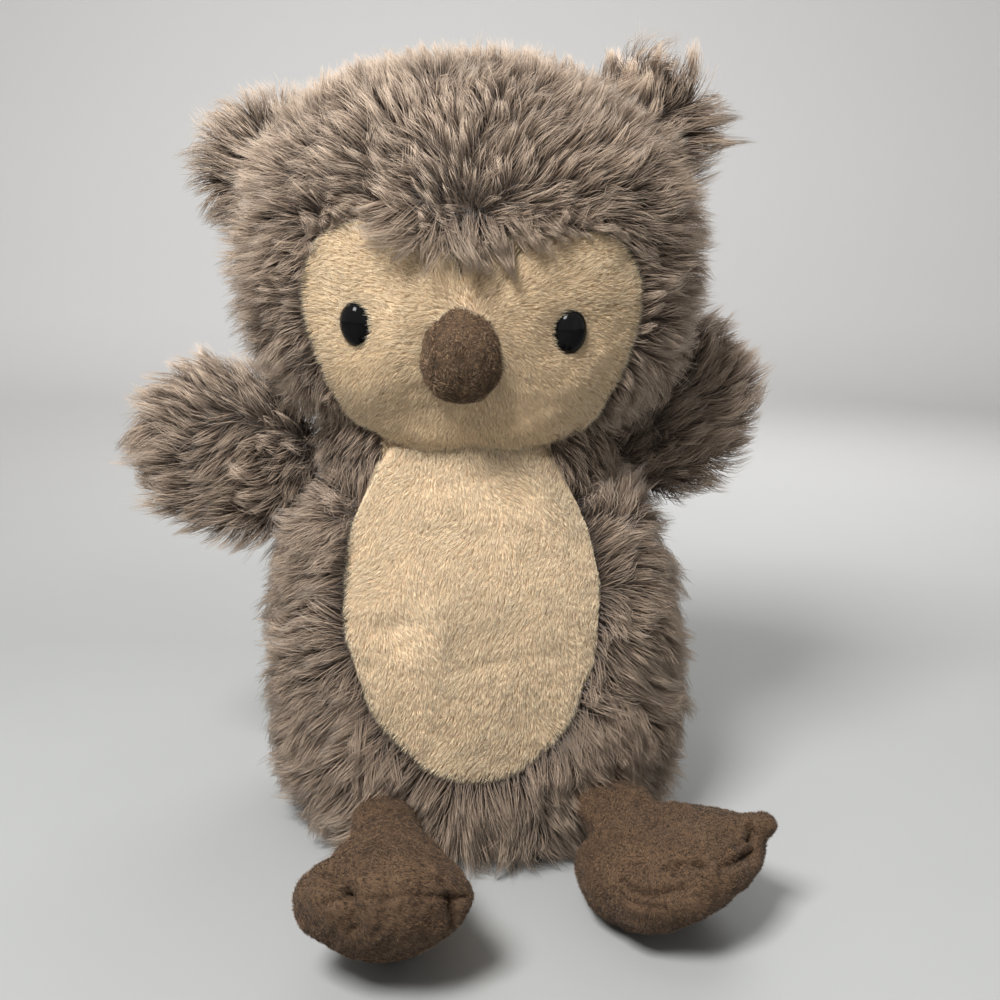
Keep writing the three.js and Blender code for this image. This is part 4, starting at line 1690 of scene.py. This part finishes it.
LEFT_CREASES = (
    Crease(((-6.4, -24, -2.1),), 1.6, 2.4),
    Crease(
        ((-13.3, -20, 5.3), (-9.2, -23.5, 0.9), (-6.4, -24, -2.1), (-4.7, -24, -5.7), (-4.8, -21, -9.3)),
        2.3, 2.3,
    ),
    Crease(((-19.5, -18, 0.3), (-14.1, -24.2, 0.6), (-10.5, -24.5, -0.7), (-6.4, -24, -2.1)), 1.0, 0.75),
    Crease(
        ((-6.4, -24, -2.1), (2.5, -25.3, -2.6), (8.3, -24.5, -1.3), (13.7, -22, -1.3), (19, -19, -1.9)),
        0.5, 0.7,
    ),
    Crease(((19.3, -18.5, -3.1),), 2.8, 2.2),
    Crease(((16, -21, -1.1), (19.3, -18.6, -1.7), (23, -15.2, -1)), 1.5, 0.85),
    Crease(((19.3, -18, -3.1), (19.3, -16, -5.5), (18.8, -14, -8)), 2.0, 1.2),
    Crease(((14.9, -21.5, 3), (19.3, -18, -2.4)), 1.3, 0.9),
    Crease(((-11.1, -24.1, -4), (-6.4, -24, -2.1)), 1.3, 0.9),
    Crease(((-14, -22, 2.9),), -0.5, 3.5),
    Crease(((-13, -23.7, -4.5),), -1.0, 4.2),
    Crease(((22, -16.5, -3.5),), -1.2, 2.6),
)
RIGHT_CREASES = (
    Crease(((-9.7, -20.5, 6.8),), 2.8, 1.8),
    Crease(
        ((-15.1, -13, 7.9), (-13.5, -14.5, 8.3), (-12.4, -16.5, 8.2), (-11.2, -18, 7.4), (-9.7, -20, 6.8)),
        1.9, 1.0,
    ),
    Crease(((-12.4, -15.5, 8.2), (-14.1, -16, 7.3), (-15.4, -15.5, 5.7)), 1.8, 0.9),
    Crease(((-9.7, -20.5, 6.8), (-6, -22.5, 6.9), (1, -23.5, 6.1), (9.5, -22.5, 3.8)), 1.0, 0.8),
    Crease(((-6.4, -24, 4.7), (-2, -25, 3.6), (5.1, -24.5, 1.6), (8.5, -23.6, 0.6)), 2.8, 1.6),
    Crease(((5, -24.3, 1.2),), 2.0, 2.0),
    Crease(
        ((-20.9, -2, 6.2), (-22.6, -5, 5.1), (-22.6, -8.5, 3.7), (-21.7, -12.5, 2.9), (-18.1, -19.3, 4.2)),
        1.6, 0.95,
    ),
    Crease(((-22.4, -1, 4.4), (-23, -4, 2.4), (-23.4, -9.4, 1.2), (-21.8, -14.5, 0.5)), 0.9, 0.9),
    Crease(((12.8, -21.6, 6), (10.9, -23.4, 3.5), (9.3, -24.1, 0.8), (3.5, -25.5, -1)), 1.6, 0.95),
    Crease(((10.8, -23, 4.1),), 2.6, 1.8),
    Crease(((-8.3, -22.1, 5),), -1.2, 2.4),
    Crease(((-20.8, -12, 5.6),), -1.4, 3.0),
    Crease(((1, -24, 5),), -1.2, 2.2),
    Crease(((-12.5, -18.5, 3.5),), -1.0, 3.0),
)


def fuzz(
    thing: bpy.types.Object, density: float, comb: Comb, material: bpy.types.Material, seed: int
) -> list[bpy.types.Object]:
    """Grows the short nap that stands on suede.

    Args:
        thing: The suede piece.
        density: Strands for each square mm.
        comb: The way that the nap is brushed.
        material: What the nap is made of.
        seed: Seed of the nap.

    Returns:
        The pieces of nap.
    """
    roots = scatter(mesh_surface(thing.data), density, seed)
    nap = Pile(
        density=density, length=0.95, width=0.13, knots=3, lean=1.2, tuft=0.9, gather=0.4, clump=4,
        clump_gather=0.03, stray=0.4, tint_spread=0.7, tint_patch=0.05,
    )
    return grow(roots, comb, nap, seed + 1).meshed(f"{thing.name}_nap", material, seed + 2)


@dataclass
class Beak:
    """The stuffed suede beak."""

    width: float = 23.6
    depth: float = 30
    height: float = 27
    seam: float = -7
    lap: float = 0.7
    nap_density: float = 8

    def comb(self, points: np.ndarray, normals: np.ndarray) -> np.ndarray:
        """Returns the way that the beak's nap is brushed: in swirls, and a little down."""
        return drift_vectors(points, size=7, seed=82) - 0.4 * UP

    def build(self, finishes: Finishes) -> None:
        """Builds the beak's two suede panels over the CAD beak.

        Args:
            finishes: The owl's materials.
        """
        low, _ = node_box("beak_left")
        far, high = node_box("beak_right")
        across = (low[0] + high[0]) / 2
        up = (min(low[2], far[2]) + high[2]) / 2
        deep = min(low[1], far[1]) + self.depth / 2
        form = SoftForm(
            self.width, self.depth, self.height, side=2.15, top=2.2, base=2.1, place=shift(across, deep, up)
        )
        surface = form_surface(form, 0.0, around=96, rings=72)
        local = surface.points - np.array([across, deep, up])
        tip = np.exp(-(((local[:, 0] + 1) / 4) ** 2)) * smooth(7, 13, local[:, 2])
        groove = np.exp(-(((local[:, 0] - self.seam - local[:, 2] * 0.08) / 0.5) ** 2))
        rise = 0.35 * tip - 0.45 * groove + 0.18 * drift(local, size=6, seed=81)
        surface.points += surface.normals * rise[:, None]
        from_middle = surface.points[:, 0] - across
        for side in Side:
            half = part_of(surface, (from_middle - self.seam) * side.sign > -self.lap)
            panel = new_object(f"beak_panel_{side.value}", half.points, half.faces, finishes.suede)
            dress([panel], "head", "suede", f"beak_{side.value}")
            dress(fuzz(panel, self.nap_density, self.comb, finishes.beak_nap, seed=83), "head", "suede")


@dataclass(frozen=True)
class EarPose:
    """Where an ear stands on the head and how far it leans from upright, in degrees."""

    azimuth: float
    elevation: float
    lean: float


EAR_POSES = {Side.LEFT: EarPose(180, 24, 66), Side.RIGHT: EarPose(0, 42, -46)}


@dataclass
class Ear:
    """One ear tuft: a flat flap of fur that folds at its base, ragged on the right."""

    side: Side
    width: float = 40
    height: float = 44
    thickness: float = 18
    sink: float = 8
    skin: float = 4
    pile: Pile = Pile(density=1.6, length=12.5, width=0.28, lean=0.8, clump_stray=0.4)
    wild_pile: Pile = Pile(
        density=2.5, length=15.5, width=0.26, lean=0.95, tuft=4.6, gather=0.92, clump=8, clump_gather=0.3,
        clump_stray=0.55, stray=0.15, length_spread=0.3,
    )
    wisp_pile: Pile = Pile(
        density=0.08, length=18, width=0.17, lean=1.0, clump=9, clump_gather=0.3, clump_stray=0.4, stray=0.5,
    )

    def build(self, head: Head, finishes: Finishes) -> None:
        """Builds the ear's skin and pile.

        Args:
            head: The head that it stands on.
            finishes: The owl's materials.
        """
        wild = self.side is Side.RIGHT
        pose = EAR_POSES[self.side]
        root = head.form().points(bearing(pose.azimuth, pose.elevation))[0]
        place = shift(*root) @ turn("Y", -pose.lean) @ shift(0, 0, -self.sink) @ turn("X", 90)
        form = SoftForm(self.width, self.height, self.thickness, side=2.2, top=2.2, base=2.2, place=place)
        skin = form_surface(form, self.skin, around=64, rings=36)
        body = f"ear_{self.side.value}"
        backing = new_object(f"{body}_skin", skin.points, skin.faces, finishes.fur_backing)
        dress([backing], body, "fur", f"{body}_front", f"{body}_back")
        source = root - unit((root - np.array(head.middle))[None])[0] * 16

        def outward(points: np.ndarray, normals: np.ndarray) -> np.ndarray:
            """Returns the way outwards over the ear from inside the head."""
            return unit(points - source)

        def windblown(points: np.ndarray, normals: np.ndarray) -> np.ndarray:
            """The way outwards and up, unlike from one tuft to the next.

            Args:
                points: Roots, (N, 3).
                normals: The skin's normals there, (N, 3).

            Returns:
                The way at each root.
            """
            upward = unit(np.array([[0.3, -0.1, 1.0]]))
            wander = drift_vectors(points, size=10, seed=91)
            return 0.75 * outward(points, normals) + 0.45 * upward + 0.3 * wander

        roots = scatter(skin, self.pile.density, seed=61 + self.side.sign)
        roots = roots.kept(head.core_share(roots.points) > 0.9)
        comb, pile = (windblown, self.wild_pile) if wild else (outward, self.pile)
        coat = grow(roots, comb, pile, seed=71 + self.side.sign)
        dress(coat.meshed(f"{body}_pile", finishes.fur, seed=73), body, "fur")
        if wild:
            tips = scatter(skin, self.wisp_pile.density, seed=93)
            tips = tips.kept(head.core_share(tips.points) > 1.1)
            wisps = grow(tips, comb, self.wisp_pile, seed=95)
            dress(wisps.meshed(f"{body}_wisps", finishes.fur, seed=97), body, "fur")


@dataclass(frozen=True)
class WingPose:
    """Where a wing is sewn on and how it stands, in degrees, and how much its fur droops."""

    azimuth: float
    lift: float
    yaw: float
    droop: float


WING_POSES = {Side.LEFT: WingPose(178, 23, 180, 0.5), Side.RIGHT: WingPose(14, 48, 26, 0.2)}


@dataclass
class Wing:
    """One stuffed wing, covered in fur that lies towards its tip."""

    side: Side
    length: float = 66
    width: float = 60
    thickness: float = 32
    root: float = 9
    elevation: float = 41
    skin: float = 6.5
    pile: Pile = Pile(
        density=1.7, length=13.5, width=0.25, lean=0.75, tuft=3.0, gather=0.8, clump=8, clump_gather=0.32,
        stray=0.26, clump_stray=0.4, length_spread=0.26,
    )

    def build(self, body_form: SoftForm, finishes: Finishes) -> None:
        """Builds the wing's skin and pile.

        Args:
            body_form: The form of the body that it is sewn to.
            finishes: The owl's materials.
        """
        pose = WING_POSES[self.side]
        shoulder = body_form.points(bearing(pose.azimuth, self.elevation))[0]
        place = shift(*shoulder) @ turn("Z", pose.yaw) @ turn("Y", -pose.lift)
        outward = place[:3, 0].copy()
        place = place @ shift(self.length / 2 - self.root, 0, 0) @ turn("X", 90)

        def rooted(share: np.ndarray) -> np.ndarray:
            """Returns the shares thinned and narrowed towards the root."""
            inward = (1 - share[:, :1]) / 2
            return share * np.concatenate([np.ones_like(inward), 1 - 0.1 * inward, 1 - 0.45 * inward], axis=1)

        form = SoftForm(
            self.length, self.width, self.thickness, side=2.4, top=2.2, base=2.2, place=place, taper=rooted
        )
        skin = form_surface(form, self.skin, around=84, rings=48)
        name = f"wing_{self.side.value}"
        backing = new_object(f"{name}_skin", skin.points, skin.faces, finishes.fur_backing)
        dress([backing], name, "fur", f"{name}_front", f"{name}_back")
        middle = place[:3, 3]

        def comb(points: np.ndarray, normals: np.ndarray) -> np.ndarray:
            """Returns the way towards the tip and out to the edges."""
            return 1.2 * outward + 0.4 * unit(points - middle) - pose.droop * UP

        roots = scatter(skin, self.pile.density, seed=81 + self.side.sign)
        coat = grow(roots, comb, self.pile, seed=91 + self.side.sign)
        dress(coat.meshed(f"{name}_pile", finishes.fur, seed=93), name, "fur")


@dataclass(frozen=True)
class LegShape:
    """How one leg lies, in mm and degrees, with the shares that shape its foot.

    Yaw, pitch and roll turn the foot. Distance and offset run from the hip to the foot's middle, forwards
    and across. Foot_width and foot_thickness are shares of the plain foot's. Heel is the foot's width there
    as a share, pinched how much it narrows up to its seam, lean how much it leans sideways, and sole how
    much thinner it is under the toes.
    """

    yaw: float
    pitch: float
    roll: float
    distance: float
    offset: float
    leg_width: float
    foot_width: float
    foot_thickness: float
    heel: float
    pinched: float
    lean: float
    sole: float


LEG_SHAPES = {
    Side.LEFT: LegShape(
        yaw=-4, pitch=34, roll=0, distance=47, offset=6.4, leg_width=19, foot_width=0.89,
        foot_thickness=1.03, heel=0.36, pinched=0.48, lean=0.12, sole=0.1,
    ),
    Side.RIGHT: LegShape(
        yaw=48, pitch=18, roll=-6, distance=28, offset=15.5, leg_width=24, foot_width=0.97,
        foot_thickness=0.95, heel=0.78, pinched=0.1, lean=0, sole=0.35,
    ),
}


@dataclass
class Leg:
    """One suede leg and foot with gathered toes."""

    side: Side
    foot_width: float = 55
    foot_length: float = 53
    foot_thickness: float = 34
    leg_thickness: float = 19
    hip_elevation: float = -34
    hip_sink: float = 6
    foot_overlap: float = 16
    seat: float = 0.5
    voxel: float = 1.1
    nap_density: float = 4.4

    def level_foot(self) -> SoftForm:
        """The foot's form.

        Returns:
            The form about the owl's middle, turned as the foot lies.
        """
        shape = LEG_SHAPES[self.side]

        def toes(share: np.ndarray) -> np.ndarray:
            """Shapes the foot.

            Args:
                share: Places on a round form, as shares of its half sizes, (N, 3).

            Returns:
                The shares narrowed at the heel, thinned at the toes and pinched along the seam.
            """
            back = smooth(-0.6, 1, share[:, 1:2])
            front = (1 - share[:, 1:2]) / 2
            rise = share[:, 2:3]
            pinch = 1 - shape.pinched * np.where(rise > 0, 1, 0.25) * np.abs(rise) ** 1.3
            across = (1 - (1 - shape.heel) * back) * pinch
            sheared = share + shape.lean * rise * np.array([1, 0, 0])
            thick = 1 - np.where(rise > 0, 0.35, shape.sole) * front
            return sheared * np.concatenate([across, np.ones_like(back), thick], axis=1)

        width, thickness = self.foot_width * shape.foot_width, self.foot_thickness * shape.foot_thickness
        place = turn("Z", shape.yaw) @ turn("X", -shape.pitch) @ turn("Y", shape.roll)
        return SoftForm(
            width, self.foot_length, thickness, side=2.35, top=2.15, base=2.3, place=place, taper=toes
        )

    def forms(self, body_form: SoftForm) -> tuple[SoftForm, ...]:
        """The forms that the leg is joined from.

        Args:
            body_form: The form of the body that it is sewn to.

        Returns:
            The foot, the leg and the instep that joins them, and on the right a rolled toe.
        """
        shape = LEG_SHAPES[self.side]
        hip = body_form.points(bearing(LEG_AZIMUTHS[self.side], self.hip_elevation))[0]
        foot = self.level_foot()
        lowest = foot.points(globe(around=48, rings=32)[0])[:, 2].min()
        centre = np.array([hip[0] + shape.offset, hip[1] - shape.distance, -lowest - self.seat])
        foot = replace(foot, place=shift(*centre) @ foot.place)
        run = centre - hip
        way = run / np.linalg.norm(run)
        swing = Vector((0, -1, 0)).rotation_difference(Vector(way)).to_matrix().to_4x4()

        def thin(share: np.ndarray) -> np.ndarray:
            """Returns the shares thinned at the hip."""
            back = (1 + share[:, 1:2]) / 2
            return share * np.concatenate([np.ones_like(back), np.ones_like(back), 1 - 0.5 * back], axis=1)

        def flared(share: np.ndarray) -> np.ndarray:
            """Returns the shares flared from the ankle to the toes."""
            back = smooth(-0.7, 0.8, share[:, 1:2])
            return share * np.concatenate([1 - 0.58 * back, np.ones_like(back), 1 - 0.4 * back], axis=1)

        length = np.linalg.norm(run) + self.hip_sink - self.foot_length / 2 + self.foot_overlap
        place = shift(*(hip + way * (length / 2 - self.hip_sink))) @ np.array(swing)
        leg = SoftForm(
            shape.leg_width, length, self.leg_thickness, side=2.4, top=2.2, base=2.2, place=place, taper=thin
        )
        reach = np.linalg.norm(run) + 10
        place = shift(*(hip + way * (reach / 2 + 4))) @ np.array(swing)
        thickness = self.foot_thickness * 0.78
        instep = SoftForm(
            shape.leg_width * 2, reach, thickness, side=2.2, top=2.2, base=2.2, place=place, taper=flared
        )
        if self.side is Side.LEFT:
            return foot, leg, instep
        place = foot.place @ shift(14.6, -19, 3.6) @ turn("Z", 42)
        return foot, leg, instep, SoftForm(8.5, 19, 8, side=2.4, top=2.6, base=2.4, place=place)

    def welded(self, parts: Sequence[SoftForm], material: bpy.types.Material) -> bpy.types.Object:
        """Joins the forms to one smooth closed cover.

        Args:
            parts: The forms.
            material: What the cover is made of.

        Returns:
            The cover, before its creases.
        """
        directions, faces = globe(around=64, rings=40)
        points = np.concatenate([part.points(directions, 0.1) for part in parts])
        joined = []
        for number in range(len(parts)):
            joined += [tuple(i + len(directions) * number for i in face) for face in faces]
        thing = new_object(f"foot_{self.side.value}_cover", points, joined, material)
        remesh = thing.modifiers.new("weld", "REMESH")
        remesh.mode, remesh.voxel_size = "VOXEL", self.voxel * MM
        relax = thing.modifiers.new("relax", "SMOOTH")
        relax.factor, relax.iterations = 0.5, 7
        finer = thing.modifiers.new("finer", "SUBSURF")
        finer.levels = finer.render_levels = 1
        graph = bpy.context.evaluated_depsgraph_get()
        shaped = bpy.data.meshes.new_from_object(thing.evaluated_get(graph))
        thing.modifiers.clear()
        thing.data = shaped
        return thing

    def build(self, body_form: SoftForm, finishes: Finishes) -> None:
        """Builds the leg and foot in suede, with their creases and nap.

        Args:
            body_form: The form of the body that the leg is sewn to.
            finishes: The owl's materials.
        """
        parts = self.forms(body_form)
        foot = parts[0]
        cover = self.welded(parts, finishes.suede)
        smooth_cover = mesh_surface(cover.data)
        dents = self.dents(smooth_cover.points, foot)
        points = smooth_cover.points + smooth_cover.normals * dents[:, None]
        points[:, 2] = np.maximum(points[:, 2], 0.0)
        cover.data.vertices.foreach_set("co", (points * MM).ravel())
        cover.data.polygons.foreach_set("use_smooth", np.ones(len(cover.data.polygons), dtype=bool))
        cover.data.update()
        body, name = f"leg_{self.side.value}", f"foot_{self.side.value}"
        dress([cover], body, "suede", f"{name}_upper", f"{name}_sole", f"{name}_stuffing")

        def comb(points: np.ndarray, normals: np.ndarray) -> np.ndarray:
            """Returns the way that the nap is brushed: across the foot and down, in swirls."""
            return 0.4 * drift_vectors(points, size=12, seed=121) + foot.place[:3, 0] - 0.3 * UP

        dress(fuzz(cover, self.nap_density, comb, finishes.suede_nap, seed=122), body, "suede")

    def dents(self, points: np.ndarray, foot: SoftForm) -> np.ndarray:
        """How far the cover moves out of its smooth surface.

        Args:
            points: The cover's points, (N, 3).
            foot: The foot's form.

        Returns:
            The way out at each point in mm: soft swells less the creases of the gathered toes.
        """
        local = moved(points, np.linalg.inv(foot.place))
        creases = LEFT_CREASES if self.side is Side.LEFT else RIGHT_CREASES
        seed = 111 + self.side.sign
        swell = 0.3 * drift(local, size=13, seed=seed) + 0.12 * drift(local, size=4, seed=seed + 4)
        return swell - sum(crease.sink(local) for crease in creases)


# The stage


@dataclass(frozen=True)
class Lamp:
    """A soft square lamp that looks at the owl: its place in mm, and its size and aim in m."""

    name: str
    place: tuple[float, float, float]
    watts: float
    size: float
    aim: tuple[float, float, float] = (0, 0, 0.12)

    def build(self) -> None:
        """Adds the lamp to the scene."""
        data = bpy.data.lights.new(self.name, "AREA")
        data.energy, data.size = self.watts, self.size
        thing = bpy.data.objects.new(self.name, data)
        thing.location = Vector(self.place) * MM
        thing.visible_camera = False
        thing.rotation_euler = (Vector(self.aim) - thing.location).to_track_quat("-Z", "Y").to_euler()
        bpy.context.scene.collection.objects.link(thing)


LAMPS = (
    Lamp("Key", (-290, -500, 820), 14.6, 0.29),
    Lamp("Fill", (520, -520, 260), 0.35, 0.5),
    Lamp("Top", (-60, 60, 720), 0.8, 0.5),
    Lamp("Back", (300, 560, 560), 2.4, 0.5),
)


@dataclass
class Stage:
    """The floor, backdrop, lights and camera round the owl."""

    camera_place: tuple[float, float, float] = (6, -369, 190)
    camera_pitch: float = 13.2
    camera_roll: float = 0.5
    lens: float = 42.48
    sensor: float = 36
    room_seen: Colour = (0.9, 0.9, 0.9)
    room_light: Colour = (0.56, 0.55, 0.54)
    light_strength: float = 0.38
    seen_strength: float = 0.62
    floor_dark: Colour = (0.305, 0.31, 0.305)
    floor_pale: Colour = (0.345, 0.35, 0.345)
    backdrop: Colour = (0.9, 0.89, 0.88)
    floor_half_width: float = 3000
    floor_front: float = -1500
    floor_flat: float = 900
    backdrop_radius: float = 300
    backdrop_top: float = 1800

    def build(self) -> None:
        """Builds the floor with its backdrop, the lamps, the room's light and the camera."""
        self.floor()
        for lamp in LAMPS:
            lamp.build()
        self.room()
        self.camera()
        bpy.context.scene.view_settings.view_transform = "Standard"

    def room(self) -> None:
        """Builds the pale room, which is seen and mirrored brighter than it lights the owl."""
        world = bpy.data.worlds.new("Pale room")
        bpy.context.scene.world = world
        world.use_nodes = True
        make = Nodes(world.node_tree)
        background = world.node_tree.nodes["Background"]
        path = make.add("ShaderNodeLightPath").outputs
        mirrored = make.sums("ADD", path["Is Glossy Ray"], path["Is Transmission Ray"])
        direct = make.sums("ADD", path["Is Camera Ray"], mirrored, clamp=True)
        make.put(background.inputs["Color"], make.blend(direct, self.room_light, self.room_seen))
        brighter = make.sums("MULTIPLY", direct, self.seen_strength)
        make.put(background.inputs["Strength"], make.sums("ADD", brighter, self.light_strength))

    def camera(self) -> None:
        """Builds the camera, level with the owl's head and looking a little down."""
        data = bpy.data.cameras.new("Camera")
        data.lens, data.sensor_width = self.lens, self.sensor
        data.clip_start, data.clip_end = 0.01, 20
        camera = bpy.data.objects.new("Camera", data)
        tilt = Matrix.Rotation(math.radians(90 - self.camera_pitch), 4, "X")
        roll = Matrix.Rotation(math.radians(self.camera_roll), 4, "Z")
        camera.matrix_world = Matrix.Translation(np.array(self.camera_place) * MM) @ tilt @ roll
        bpy.context.scene.collection.objects.link(camera)
        bpy.context.scene.camera = camera

    def floor(self) -> None:
        """Builds the pale floor that curves up into a backdrop behind the owl."""
        radius, steps = self.backdrop_radius, 12
        profile = [(self.floor_front, 0.0)]
        for step in range(steps + 1):
            angle = math.radians(90 * step / steps)
            profile.append((self.floor_flat + radius * math.sin(angle), radius - radius * math.cos(angle)))
        profile.append((self.floor_flat + radius, self.backdrop_top))
        sides = (-self.floor_half_width, self.floor_half_width)
        points = np.array([(x, y, z) for x in sides for y, z in profile])
        count = len(profile)
        faces = [(i, i + count, i + count + 1, i + 1) for i in range(count - 1)]
        material, make, shader = new_material("Pale floor")
        place = make.add("ShaderNodeTexCoord").outputs["Object"]
        mottle = make.add("ShaderNodeTexNoise", Vector=place, Scale=6.0, Detail=4.0)
        depth = make.add("ShaderNodeSeparateXYZ", Vector=place).outputs["Y"]
        near = make.blend(mottle.outputs[0], self.floor_dark, self.floor_pale)
        ramp = make.add("ShaderNodeMapRange", Value=depth, From_Min=0.15, From_Max=1.1).outputs[0]
        make.put(shader.inputs["Base Color"], make.blend(ramp, near, self.backdrop))
        shader.inputs["Roughness"].default_value = 0.6
        sweep = new_object("floor_sweep", points, faces, material)


def dress_inner_nodes() -> None:
    """Gives every CAD node that stays inside the owl a procedural material."""
    choices = {
        "stuffing": WADDING.material(),
        "pouch": POUCH_CLOTH.material(),
        "fill": PELLETS.material(),
        "washer": WASHER_PLASTIC.material(),
    }
    for name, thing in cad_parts.items():
        for part, material in choices.items():
            if part in name:
                thing.data.materials.clear()
                thing.data.materials.append(material)


def main() -> None:
    """Builds the owl's sub-assemblies in order and reports each."""
    logging.basicConfig(level=logging.INFO, format="%(message)s")
    Stage().build()
    LOG.info("stage and camera")
    finishes = Finishes()
    dress_inner_nodes()
    body, head = Body(), Head()
    body.build(finishes)
    LOG.info("body")
    Neck().build(finishes)
    LOG.info("neck")
    head.build(finishes)
    LOG.info("head and face")
    Beak().build(finishes)
    LOG.info("beak")
    for side in Side:
        Eye(side).build(head, finishes)
        Ear(side).build(head, finishes)
        Wing(side).build(body.form(), finishes)
        Leg(side).build(body.form(), finishes)
        LOG.info("%s eye, ear, wing and leg", side.value)
    LOG.info("sizes written")


if __name__ == "__main__":
    main()
